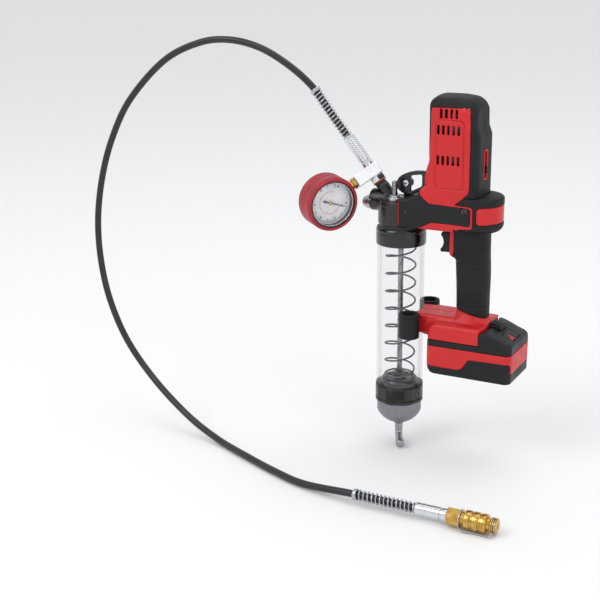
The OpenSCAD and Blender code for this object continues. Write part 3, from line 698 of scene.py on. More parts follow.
def outlet_frame():
    """The matrix of the outlet's axis, in gun millimetres."""
    start, end = np.array(ROUTE[0], float), np.array(ROUTE[2], float)
    tilt = math.degrees(math.atan2(start[0] - end[0], end[2] - start[2]))
    return at(*start) @ turned(-tilt, "Y") @ at(0, 0, -OUTLET_LEN)


def tee_frame():
    """The matrix of the tee's branch: X points to the gauge."""
    return outlet_frame() @ at(0, 0, NIPPLE_END + TEE_W / 2) @ turned(TEE_TURN, "Z")


def gauge_frame():
    """The matrix of the gauge: Z out of its face, Y away from the tee."""
    away = TEE_BACK + TEE_LEN + STEM_LEN + BOOT_R - 3
    spin = Matrix.Rotation(math.radians(-120), 4, Vector((1, 1, 1)))
    return tee_frame() @ at(away, 0, 0) @ turned(GAUGE_TURN, "X") @ spin


def along_x(x, y, z):
    """A matrix that lays a turned shape's axis along +X from a point."""
    return at(x, y, z) @ turned(90, "Y")


def on_coupler(x):
    """A matrix that lays a turned shape's axis along the coupler's, from a distance along it."""
    return along_x(x, COUPLER_Y, COUPLER_Z)


class GreaseGunLook(bpy.types.PropertyGroup):
    """Colours and sizes of the grease gun's visible pieces."""

    red: FloatVectorProperty(name="Red", description="Colour of the moulded housing", subtype="COLOR",
                             size=3, min=0, max=1, default=linear("#C71E21"))
    black: FloatVectorProperty(name="Black", description="Colour of the soft overmoulding", subtype="COLOR",
                               size=3, min=0, max=1, default=linear("#17181A"))
    cell: FloatProperty(name="Cell", description="Cell size of the moulded shapes, in millimetres",
                        min=0.5, max=3, default=0.9)
    wall: FloatProperty(name="Wall", description="Wall of the moulded shells, in millimetres",
                        min=1.5, max=4, default=2.5)
    guard_turns: IntProperty(name="Guard turns", description="Turns of wire on each hose guard",
                             min=6, max=30, default=15)
    light: FloatProperty(name="Light", description="Strength of the studio light, as a share of normal",
                         min=0.1, max=3, default=1.0)


class GREASEGUN_OT_stage(bpy.types.Operator):
    """Makes the floor, the soft studio light and the camera"""
    bl_idname = "greasegun.stage"
    bl_label = "Stage"

    def execute(self, context):
        build_stage()
        return {"FINISHED"}


class GREASEGUN_OT_hose(bpy.types.Operator):
    """Makes the hose with its ferrules, wire guards and brass coupler"""
    bl_idname = "greasegun.hose"
    bl_label = "Hose and coupler"

    def execute(self, context):
        build_hose()
        return {"FINISHED"}


class GREASEGUN_OT_housing(bpy.types.Operator):
    """Makes the red housing, its black overmouldings, plates, grip and foot"""
    bl_idname = "greasegun.housing"
    bl_label = "Housing and grip"

    def execute(self, context):
        build_housing()
        return {"FINISHED"}


class GREASEGUN_OT_controls(bpy.types.Operator):
    """Makes the trigger, the speed switch, the housing screws and the hose holder"""
    bl_idname = "greasegun.controls"
    bl_label = "Controls and fasteners"

    def execute(self, context):
        build_controls()
        return {"FINISHED"}


class GREASEGUN_OT_battery(bpy.types.Operator):
    """Makes the battery, its red band, its latch and its charge lights"""
    bl_idname = "greasegun.battery"
    bl_label = "Battery"

    def execute(self, context):
        build_battery()
        return {"FINISHED"}


class GREASEGUN_OT_pump_head(bpy.types.Operator):
    """Makes the pump head with its plug, air bleeder and strap ring"""
    bl_idname = "greasegun.pump_head"
    bl_label = "Pump head"

    def execute(self, context):
        build_pump_head()
        return {"FINISHED"}


class GREASEGUN_OT_barrel(bpy.types.Operator):
    """Makes the clear barrel with its collar, follower, spring, ring nut, cap and handle"""
    bl_idname = "greasegun.barrel"
    bl_label = "Barrel"

    def execute(self, context):
        build_barrel()
        return {"FINISHED"}


class GREASEGUN_OT_outlet(bpy.types.Operator):
    """Makes the outlet's adapter, washer, nipple and tee"""
    bl_idname = "greasegun.outlet"
    bl_label = "Outlet"

    def execute(self, context):
        build_outlet()
        return {"FINISHED"}


class GREASEGUN_OT_gauge(bpy.types.Operator):
    """Makes the pressure gauge in its rubber boot"""
    bl_idname = "greasegun.gauge"
    bl_label = "Gauge"

    def execute(self, context):
        build_gauge()
        return {"FINISHED"}


class GREASEGUN_OT_insides(bpy.types.Operator):
    """Gives the motor, gears, valve and cells their real finishes"""
    bl_idname = "greasegun.insides"
    bl_label = "Insides"

    def execute(self, context):
        finish_insides()
        return {"FINISHED"}


class GREASEGUN_PT_sidebar(bpy.types.Panel):
    """The buttons that build the grease gun, in order"""
    bl_idname = "GREASEGUN_PT_sidebar"
    bl_label = "Grease gun"
    bl_space_type = "VIEW_3D"
    bl_region_type = "UI"
    bl_category = "Grease gun"

    def draw(self, context):
        for name in ("red", "black", "cell", "wall", "guard_turns", "light"):
            self.layout.prop(context.scene.grease_gun, name)
        for operator in OPERATORS:
            self.layout.operator(operator.bl_idname)


# ---------------------------------------------------------------- stage

def build_stage():
    """Camera, floor and soft light."""
    scene = bpy.context.scene
    azimuth, elevation, roll = (math.radians(a) for a in (28.511, 17.418, -0.758))
    camera = bpy.data.objects.new("camera", bpy.data.cameras.new("camera"))
    scene.collection.objects.link(camera)
    camera.data.lens = 72.35
    camera.data.sensor_width = 36
    camera.data.clip_end = 100
    level = Matrix.Rotation(azimuth, 4, "Z") @ Matrix.Rotation(math.pi / 2 - elevation, 4, "X")
    camera.matrix_world = at(0.4972, -1.3673, 0.4260) @ level @ Matrix.Rotation(roll, 4, "Z")
    scene.camera = camera
    scene.view_settings.view_transform = "Standard"

    size = 30
    mesh = bpy.data.meshes.new("floor")
    mesh.from_pydata([(-size, -size, FLOOR), (size, -size, FLOOR), (size, size, FLOOR), (-size, size, FLOOR)],
                     [], [(0, 1, 2, 3)])
    mesh.materials.append(finish(floor_paper))
    floor = bpy.data.objects.new("floor", mesh)
    scene.collection.objects.link(floor)

    world = bpy.data.worlds.new("studio")
    world.use_nodes = True
    world.node_tree.nodes["Background"].inputs["Color"].default_value = (0.94, 0.95, 0.97, 1)
    world.node_tree.nodes["Background"].inputs["Strength"].default_value = 0.86 * look().light
    scene.world = world
    for name, spot, aim, width, power in (
            ("key", (-1.3, -2.0, 2.2), (0, 0, 0.05), 1.6, 24),
            ("fill", (2.4, -1.4, 1.3), (0, 0, 0.0), 1.4, 10),
            ("top", (0.2, 0.6, 2.6), (0, 0, 0.0), 1.8, 12)):
        lamp = bpy.data.lights.new(name, "AREA")
        lamp.size = width
        lamp.energy = power * look().light
        holder = bpy.data.objects.new(name, lamp)
        scene.collection.objects.link(holder)
        holder.location = spot
        holder.rotation_mode = "QUATERNION"
        holder.rotation_quaternion = (Vector(aim) - Vector(spot)).to_track_quat("-Z", "Y")


# ---------------------------------------------------------------- hose

def ferrule(length, radius, bore):
    """A crimped ferrule along Z: a plain collar with a groove, then ribs left by the crimping dies."""
    outline = [(bore, 0), (radius, 0), (radius, 7), (radius - 1.2, 7.6), (radius - 1.2, 8.8), (radius, 9.4)]
    pitch = 3.2
    for k in range(int((length - 12) / pitch)):
        z = 10.5 + k * pitch
        outline += [(radius, z), (radius - 0.14, z + 0.5), (radius - 0.14, z + 0.9), (radius, z + 1.4)]
    outline += [(radius, length - 0.8), (radius - 0.8, length), (bore, length)]
    return lathe(outline, edge=0.15, sides=48)


def guard(path, turns, wire=1.9, radius=6.0):
    """A wire guard coiled round the hose, with a small collar at its far end."""
    line = resampled(path, 60)
    end = line[-1]
    ahead = Vector(line[-1] - line[-4]).normalized()
    collar = placed(lathe([(5.1, 0), (7.0, 0), (7.0, 4.5), (5.1, 4.5)], edge=0.6),
                    at(*(end - 4.5 * np.array(ahead))) @ ahead.to_track_quat("Z", "Y").to_matrix().to_4x4())
    return joined(coiled(path, radius, wire, turns), collar)


def build_hose():
    """Hose, ferrules and guards, then the coupler on its far end."""
    path = smooth_path(ROUTE, 12)
    outlet = outlet_frame()
    spring_path = resampled(path, 60, 0, 74)
    far_start = length_of(path) - 80
    far_path = resampled(path, 60, far_start, far_start + 80)[::-1]
    turns = look().guard_turns
    guards = piece("wire_guards", joined(guard(spring_path, turns), guard(far_path, turns)), zinc_steel,
                   nodes=("spring_guards",), sharp=30)
    near = placed(ferrule(OUTLET_LEN - FERRULE_START, 7.75, 4.4), outlet @ at(0, 0, FERRULE_START))
    far = placed(ferrule(40, 7.75, 4.4), on_coupler(COUPLER_START) @ turned(180, "X"))
    ferrules = piece("crimped_ferrules", joined(near, far), chrome, nodes=("hose_fittings",),
                     sharp=30)
    on_hose = [guards, ferrules, *build_coupler()]
    tube = piece("grease_hose", swept(path, 4.5, sides=20, side=(0, 1, 0)), hose_rubber,
                 nodes=("hose",), sharp=50)


def build_coupler():
    """The brass coupler: hex body, knurled sleeve, dust plug and its bead chain."""
    hexes = prism(hexagon(11), 0, 15.5)
    neck = lathe([(2.5, 15), (9.6, 15), (9.6, 16.2), (8, 17), (8, 48), (7.2, 51.5), (6, 52), (6, 38), (2.5, 38)])
    band = lathe([(8, 15.2), (10.2, 15.2), (10.2, 16.8), (8, 16.8)], edge=0.3)
    body = piece("coupler_body_brass", placed(joined(hexes, neck, band), on_coupler(COUPLER_START)), brass,
                 nodes=("coupler_body",), edge=0.5, sharp=30)
    sleeve_start = 167
    outline = [(8.1, 0), (10.6, 0), (11.5, 1), (11.5, 7.2), (10.5, 7.8), (10.5, 9.8), (11.5, 10.4), (11.5, 17),
               (10.5, 17.6), (10.5, 19.6), (11.5, 20.2), (11.5, 25.8), (10.4, 27), (8.1, 27)]
    knurled = fluted(lathe(outline, edge=0.25, sides=96), 10.9, 16.6, 0.45)
    sleeve = piece("coupler_sleeve_brass", placed(knurled, on_coupler(sleeve_start)), brass,
                   body="coupler_sleeve", nodes=("coupler_sleeve",), sharp=25)
    plug_low, plug_high = span("dust_plug")
    head = plug_high[0] - 7
    outline = [(0, -12.5), (5.2, -12.5), (5.6, -11.8), (5.6, 0), (9.2, 0), (9.5, 0.6), (9.5, 2), (8.2, 2.5),
               (8.2, 4.2), (9.3, 4.7), (9.3, 6.2), (8.2, 7), (3, 7), (2.4, 6.2), (0, 6.2)]
    plug = piece("dust_plug_brass", placed(lathe(outline, edge=0.25), on_coupler(head)), brass,
                 body="dust_plug", nodes=("dust_plug",), sharp=25)
    ring = piece("dust_plug_seal", placed(lathe([(7.6, 2.7), (8.75, 2.7), (8.75, 4.1), (7.6, 4.1)], edge=0.3),
                                          on_coupler(head)), black_gloss, body="dust_plug",
                 sharp=25)
    chain = build_bead_chain(head)
    return [body, sleeve, plug, ring, chain]


def build_bead_chain(head):
    """A bead chain from the coupler's neck to the plug's neck, drooping to the floor between them."""
    hang = [(161.8, -200.7, 7.4), (163.6, -201.6, 4.0), (169, -201, 1.9), (178, -199.6, 1.6), (185, -198.9, 1.6),
            (192, -199.6, 1.6), (198.5, -200.4, 2.2), (head + CHAIN_ON_PLUG, -199.6, 7.4)]
    line = resampled(smooth_path(hang, 8), 21)
    bead = lathe([(0, -1.1), (0.55, -0.95), (0.95, -0.55), (1.1, 0), (0.95, 0.55), (0.55, 0.95), (0, 1.1)],
                 edge=0, sides=12)
    beads = [placed(bead, at(*point)) for point in line]
    collars = [placed(lathe([(r, -0.5), (r + 1, -0.5), (r + 1, 0.5), (r, 0.5)], edge=0.2, sides=32),
                      on_coupler(x)) for x, r in ((CHAIN_COLLAR_X, 10.2), (head + CHAIN_ON_PLUG, 8.3))]
    chain = piece("bead_chain", joined(*beads, swept(line, 0.35, 6), *collars), zinc_steel, sharp=40)
    world = chain.matrix_world.copy()
    chain.parent = None
    chain.matrix_world = world
    del chain["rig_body"]
    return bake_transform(chain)


# ---------------------------------------------------------------- housing

SCREWS = [(-1, 95, 331), (1, 74, 342), (1, 62, 442), (1, 90, 310.5)]      # side, X and Z
JOINT = 0.12        # half the joint line between two moulded pieces
REAR_OUT = 3.4       # how far the switch stands behind the tower's CAD solid, on the fuller moulding


def tower_field(s):
    """The motor tower: a rounded box that leans back at the front, flares at its foot and steps in behind."""
    front = 46 - 5 * smooth_step((392 - s.z) / 25) - 8 * smooth_step((358 - s.z) / 10)
    rear = 105 + 4 * smooth_step((432 - s.z) / 15)
    radius = 9 + 4 * smooth_step((s.x - 60) / 30)
    half = 31 - 2 * smooth_step((s.z - 425) / 40) * smooth_step((s.x - 60) / 40)
    plan = rounded_rect(s.x, s.y, front, rear, -half, half, radius)
    crown = 466.4 - 4 * (s.y / 31) ** 2 - 3 * smooth_step((s.x - 74) / 34)
    body = both(plan, s.z - crown, 9 + 6 * smooth_step((s.x - 50) / 45))
    return np.maximum(body, 335 - s.z)


def case_field(s):
    """The gear case with its sloping neck in front and its round bumper behind."""
    half = 30 + 3 * smooth_step((s.x - 84) / 20)
    round_end = np.where(s.x > 100, np.hypot(s.x - 100, s.y) - 33, np.abs(s.y) - half)
    plan = both(round_end, 8 - s.x, 0.5)
    top = 338 + 8 * smooth_step((s.x - 84) / 8)
    case = both(plan, s.z - top, 3)
    case = both(case, 303 - s.z, 3 + 6 * smooth_step((s.x - 84) / 16))
    neck = outline_field(s.x, s.z, [(8, 310), (8, 333.2), (36, 346.2), (52, 347), (60, 310)])
    return either(case, both(neck, np.abs(s.y) - 30, 3), 1.5)


def grip_field(s):
    """The grip: a long oval that narrows a little towards the foot, with a small palm swell."""
    down = smooth_step((300 - s.z) / 95)
    front = 75.4 + 3.6 * down
    rear = 117.8 + 0.9 * down + 0.8 * np.exp(-((s.z - 248) / 22) ** 2)
    half = 18 - 0.4 * np.exp(-((s.z - 275) / 14) ** 2)
    plan = rounded_rect(s.x, s.y, front, rear, -half, half, 16)
    return all_of(plan, s.z - 306, 186 - s.z)


def battery_line(y):
    """Where the battery's shoulder begins behind the foot, at a distance y from the middle."""
    return np.minimum(124, 120 + (38 - np.abs(y)) * 0.3)


def foot_field(s):
    """The foot that carries the battery, its arm towards the barrel and the hollows of the hose holder."""
    arm = both(rounded_rect(s.x, s.y, 18, 84, -23, 23, 3), np.abs(s.z - 178.8) - 12.8, 3.5)
    ramp = 191.6 - 6 * smooth_step((s.x - 94) / 30)
    upper = both(rounded_rect(s.x, s.y, 40, 126, -23, 23, 8), s.z - ramp, 4)
    lower_top = 186.4 - 4 * smooth_step((66 - s.x) / 14)
    lower = both(rounded_rect(s.x, s.y, 51.5, 130, -37.4, 37.4, 8), s.z - lower_top, 6.5)
    whole = either(either(arm, upper, 3), lower, 5)
    whole = either(whole, grip_field(s), 8)
    whole = both(whole, 30.6 - np.hypot(s.x, s.y), 1.5)
    whole = both(whole, 13.3 - np.hypot(s.x - SOCKET_X, np.abs(s.y) - SOCKET_Y), 1)
    return all_of(whole, 165.1 - s.z, s.x - battery_line(s.y) + 0.2)


def gun_envelope(s):
    """The outside of the whole housing."""
    high = either(tower_field(s), case_field(s), 2.5)
    spine = both(rounded_rect(s.x, s.z, 70, 84, 268, 312, 4), np.abs(s.y) - 13, 2)
    low = either(foot_field(s), spine, 6)
    return either(high, low, 4)


def panel_outline():
    """The red panel on the tower's side, seen along Y."""
    return soften([(49.8, 454.2), (98.4, 454.2), (100.4, 413), (100.2, 354.8), (98.8, 351.6), (82.2, 337.2),
                   (82.2, 326, 0), (28, 326, 0), (28, 358, 0), (38, 358), (41.8, 368), (45.2, 384), (48.2, 410)], 4)


def plate_outline():
    """The black plate on the gear case's side, seen along Y."""
    return soften([(9.3, 290, 0), (9.3, 370, 0), (28.2, 370, 0), (36.2, 346.4, 1), (49.5, 336), (102.8, 334.8),
                   (103, 313), (52, 313), (34, 303.4, 1), (34, 290, 0)], 2.5)


def bumper_outline():
    """The black bumper behind the gear case, seen along Y."""
    return soften([(93.4, 346.6, 0), (82.6, 337.4, 0.5), (104.5, 337.4), (106.3, 334), (106.3, 309.6),
                   (90, 308.2), (81, 303.8), (81, 290, 0), (150, 290, 0), (150, 346.6, 0)], 2.5)


def grip_outline():
    """The black grip cover, seen along Y."""
    return soften([(76.2, 290, 0), (76.2, 273), (72.4, 266), (60, 266, 0), (60, 204, 0), (77, 203.6),
                   (110, 195.6), (121, 191.2), (130, 190.6, 0), (130, 306, 0), (81, 306, 0), (81, 303),
                   (76.2, 300)], 2.5)


def grooves(s):
    """Shallow lines across the grip's sides."""
    depth = 0
    for k in range(5):
        line = 1 - np.minimum(np.abs(s.z - (207.5 + 16.2 * k)) / 1.2, 1)
        depth = depth + 1.3 * line * smooth_step((s.x - 97) / 3) * smooth_step((117 - s.x) / 3)
    return depth


def build_housing():
    """Every moulded shell of the gun, cut from one envelope."""
    s = Space((2, -40, 161), (138, 40, 471), look().cell)
    wall = look().wall
    outside = gun_envelope(s)
    inside = -(outside + wall)
    vents = []
    for count, height in ((5, 390.8), (5, 427.4), (4, 447)):
        for k in range(count):
            x = 72.4 + (k - (count - 1) / 2) * 6.5
            vents.append(rounded_rect(s.x, s.z, x - 1.5, x + 1.5, height - 5.6, height + 5.6, 0.6))
    raised = rounded_rect(s.x, s.z, 56.5, 92, 356, 439, 5)
    line = np.maximum(np.abs(raised) - 0.5, 29 - np.abs(s.y))

    barrel = np.hypot(s.x, s.y) - 30.5
    sockets = np.hypot(s.x - SOCKET_X, np.abs(s.y) - SOCKET_Y) - 13.2
    trigger = np.maximum(rounded_rect(s.x, s.z, 60, 95, 271.2, 297.3, 0.5), np.abs(s.y) - 8.8)
    rail = all_of(np.abs(s.y) - 25.3, s.z - 178.3, 61 - s.x)
    neck = all_of(s.x - 12, np.abs(s.y) - 15.2, 302 - s.z)
    screws = [np.maximum(np.hypot(s.x - x, s.z - z) - 4.2, 29.2 - side * s.y) for side, x, z in SCREWS]
    cuts = -any_of(np.maximum(barrel, s.z - 210), np.maximum(sockets, s.z - 210), trigger, rail, neck, *screws)
    shell = all_of(outside, inside, cuts, -np.maximum(any_of(*vents), 20 - np.abs(s.y)))

    panel = outline_field(s.x, s.z, panel_outline())
    plate = outline_field(s.x, s.z, plate_outline())
    bumper = outline_field(s.x, s.z, bumper_outline())
    above = np.maximum(335 - s.z, np.where(s.x < 60, 349.6 - s.z, 346.6 - s.z))
    tower = np.maximum(above, -panel)
    grip = outline_field(s.x, s.z, grip_outline())
    band = all_of(rounded_rect(s.x, s.z, 110.5, 160, 314.8, 336.2, 4), 300 - s.z, 105 - s.x)
    plate = np.maximum(plate, 302 - s.z)
    bumper = all_of(bumper, 302 - s.z, -grip)
    rear = np.maximum(bumper, -band)

    red = all_of(-tower, -plate, -bumper, -grip) + JOINT
    red_shell = all_of(shell, red, -np.maximum(line, -1 - (outside + 0.6)))
    for name, side in (("housing_left", 1), ("housing_right", -1)):
        half = np.maximum(red_shell, side * s.y + 0.05)
        piece(name + "_shell", s.skin(half), red_abs, nodes=(name,), sharp=0)

    proud = all_of(outside - 0.35, inside, cuts)
    switch = np.maximum(rounded_rect(s.y, s.z, -6.8, 6.8, 365, 403, 4), 98 - s.x)
    slot = np.maximum(rounded_rect(s.y, s.z, -4.6, 4.6, 367, 401, 3), 90 - s.x)
    tower_shell = all_of(proud, tower + JOINT, -np.minimum(switch, slot))
    piece("tower_cover_soft", s.skin(tower_shell), black_elastomer, nodes=("tower_cover",),
          sharp=0)
    grip_shell = all_of(outside - 0.35 + grooves(s), inside, cuts, grip + JOINT)
    piece("grip_cover_soft", s.skin(grip_shell), black_elastomer, nodes=("grip_cover",),
          sharp=0)
    piece("rear_bumper_soft", s.skin(np.maximum(proud, rear + JOINT)), black_elastomer,
          nodes=("rear_bumper",), sharp=0)
    piece("rear_band_red", s.skin(np.maximum(shell, np.maximum(bumper, band) + JOINT)), red_abs,
          nodes=("rear_band",), sharp=0)
    plate_shell = np.maximum(proud, np.maximum(plate, -tower) + JOINT)
    piece("side_plates_black", s.skin(plate_shell), black_abs, nodes=("side_plates",),
          sharp=0)


# ---------------------------------------------------------------- controls

def build_controls():
    """Trigger, speed switch, screws and hose holder."""
    low, high = span("trigger")
    s = Space((low[0] - 2, -11, low[2] - 4), (high[0] + 2, 11, high[2] + 3), 0.6)
    blade = rounded_rect(s.x, s.z, low[0] + 0.3, high[0], low[2], high[2], 3)
    hollow = np.hypot(s.x - (low[0] - 8.5), s.z - (low[2] + 12.5)) - 12
    hook = either(np.maximum(blade, -hollow), np.hypot(s.x - low[0] - 1.9, s.z - low[2] - 1.9) - 1.9, 1.5)
    shape = both(np.maximum(hook, -hollow + 0.2), np.abs(s.y) - 8.3, 1.8)
    piece("trigger_blade", s.skin(shape), black_abs, body="trigger", nodes=("trigger",),
          sharp=0)

    low, high = span("switch_frame")
    s = Space((low[0] - 1, low[1] - 2, low[2] - 2), (high[0] + 6, high[1] + 2, high[2] + 2), 0.5)
    ring = np.maximum(rounded_rect(s.y, s.z, -6.4, 6.4, low[2] + 0.1, high[2] - 0.1, 4.6),
                      -rounded_rect(s.y, s.z, -4.5, 4.5, low[2] + 2.1, high[2] - 2.1, 3))
    deep = np.maximum(s.x - high[0] - REAR_OUT, low[0] + 1 - s.x)
    piece("switch_frame_red", s.skin(both(ring, deep, 0.5)), red_abs,
          nodes=("switch_frame",), sharp=0)

    low, high = span("speed_slider")
    low[0] += REAR_OUT
    high[0] += REAR_OUT
    strip = block((low[0], -4.1, low[2]), (low[0] + 2.2, 4.1, high[2]))
    tab_low = 374
    ridges = [block((low[0] + 1.5, -3, tab_low + 2.6 * k), (high[0] - 0.8 * (k % 2), 3, tab_low + 2.6 * k + 2))
              for k in range(3)]
    tab = block((low[0] + 1, -3, tab_low), (high[0] - 1.6, 3, tab_low + 7.2))
    piece("speed_slider_black", joined(strip, tab, *ridges), black_abs, body="speed_slider",
          nodes=("speed_slider",), edge=0.35)

    head = lathe([(1.4, 0.6), (1.7, 2.2), (3.7, 2.2), (4.0, 1.6), (4.0, -1.8), (0, -1.8), (0, 0.6)], edge=0.3,
                 sides=32)
    screws = []
    for side, x, z in SCREWS:
        out = 31.4 if z > 430 else 30.2
        screws.append(placed(head, at(x, side * (out - 1.2), z) @ turned(-90 * side, "X")))
    small = placed(lathe([(0.6, 0.2), (0.8, 0.9), (1.6, 0.9), (1.9, 0.4), (1.9, -2), (0, -2), (0, 0.2)], edge=0.2,
                         sides=24), at(18.3, -30.2, 323.8) @ turned(90, "X"))
    mirrored = (small[0] * np.array([1, -1, 1]), [f[::-1] for f in small[1]])
    piece("housing_screws_black", joined(*screws, small, mirrored), dark_steel,
          nodes=("housing_screws",), sharp=30)

    low, high = span("holder_sockets")
    tall = high[2] - low[2]
    cup = lathe([(9, 0), (12.4, 0), (13, 1), (13, tall - 1), (12.4, tall), (9.8, tall), (9, tall - 1.4)], edge=0.6)
    cups = [placed(cup, at(SOCKET_X, side * SOCKET_Y, low[2])) for side in (-1, 1)]
    piece("hose_holder_cups", joined(*cups), black_elastomer, nodes=("holder_sockets",),
          sharp=40)


# ---------------------------------------------------------------- battery

def battery_envelope(s):
    """The battery's outside: main box, sloping shoulder behind the foot, and the rail that slides into it."""
    box = both(rounded_rect(s.x, s.y, 51, 162, -38, 38, 8.5), np.abs(s.z - 142.2) - 22.4, 2.5)
    box = np.maximum(box, both(51 - s.x, 119.7 - s.z, 15))
    top = 184.6 - 13 * smooth_step((s.x - 120) / 44) - 0.1 * np.maximum(np.abs(s.y) - 24, 0)
    plan = np.maximum(rounded_rect(s.x, s.y, 90, 162, -38, 38, 8.5), battery_line(s.y) + 0.2 - s.x)
    shoulder = np.maximum(both(plan, s.z - top, 6), 150 - s.z)
    rail = both(rounded_rect(s.x, s.y, 62, 124, -25, 25, 2), s.z - 176.2, 1)
    rail = np.maximum(rail, 150 - s.z)
    return np.minimum(either(box, shoulder, 0.5), rail)


def build_battery():
    """Battery shells, red band, latch, charge lights and terminal slots."""
    s = Space((47, -42, 116), (166, 42, 191), look().cell)
    outside = battery_envelope(s)
    shell = np.maximum(outside, -(outside + 3))
    latch = all_of(np.abs(s.x - 132) - 8.3, np.abs(s.y) - 10.6, 171 - s.z)
    window = both(rounded_rect(s.x, s.y, 142.8, 158.6, -18.4, 10.8, 2), 166 - s.z, 0.5)
    slots = [all_of(np.abs(s.y - y) - 1.1, s.x - 92, 168.5 - s.z) for y in (-12, -4, 4, 12)]
    shell = np.maximum(shell, -any_of(latch, window, *slots))
    band = outline_field(s.x, s.z, soften([(44, 130, 0), (94, 130), (100, 132.2), (108.5, 145.2), (160.2, 146.4),
                                           (160.8, 133), (170, 133, 0), (170, 157.6, 0), (44, 156.6, 0)], 2))
    black = np.maximum(shell, -band + JOINT)
    for name, side in (("battery_lower", 1), ("battery_upper", -1)):
        half = np.maximum(black, side * (s.z - BATTERY_SPLIT) + 0.05)
        piece(name + "_shell", s.skin(half), black_abs, body="battery", nodes=(name,),
              sharp=0)
    red = all_of(outside - 0.25, -(outside + 2.4), band + JOINT)
    piece("battery_band_red", s.skin(red), red_abs, body="battery", nodes=("battery_band",),
          sharp=0)

    low, high = span("battery_latch")
    body = block((low[0], low[1], low[2]), (high[0], high[1], high[2] - 1.6))
    ribs = [block((low[0] + 1.0 + 3.6 * k, low[1] + 1, high[2] - 4),
                  (low[0] + 3.2 + 3.6 * k, high[1] - 1, high[2] + 1.8 - 0.8 * k)) for k in range(4)]
    piece("battery_latch_ribbed", joined(body, *ribs), black_abs, body="battery_latch",
          nodes=("battery_latch",), edge=0.5)
    lean = at(150.7, 0, 174.9) @ turned(20, "Y")
    pad = placed(block((-7.9, -18, -5), (7.9, 10.4, -0.3)), lean)
    piece("charge_pad", pad, black_abs, body="battery", edge=0.8)
    bars = [placed(block((-1.8 + 2.4 * k, -8.6 - 3 * k, -1.2), (6.8, -6.4 - 3 * k, 0)), lean) for k in range(3)]
    piece("charge_marks", joined(*bars), red_abs, body="battery", edge=0.2)


# ---------------------------------------------------------------- pump head

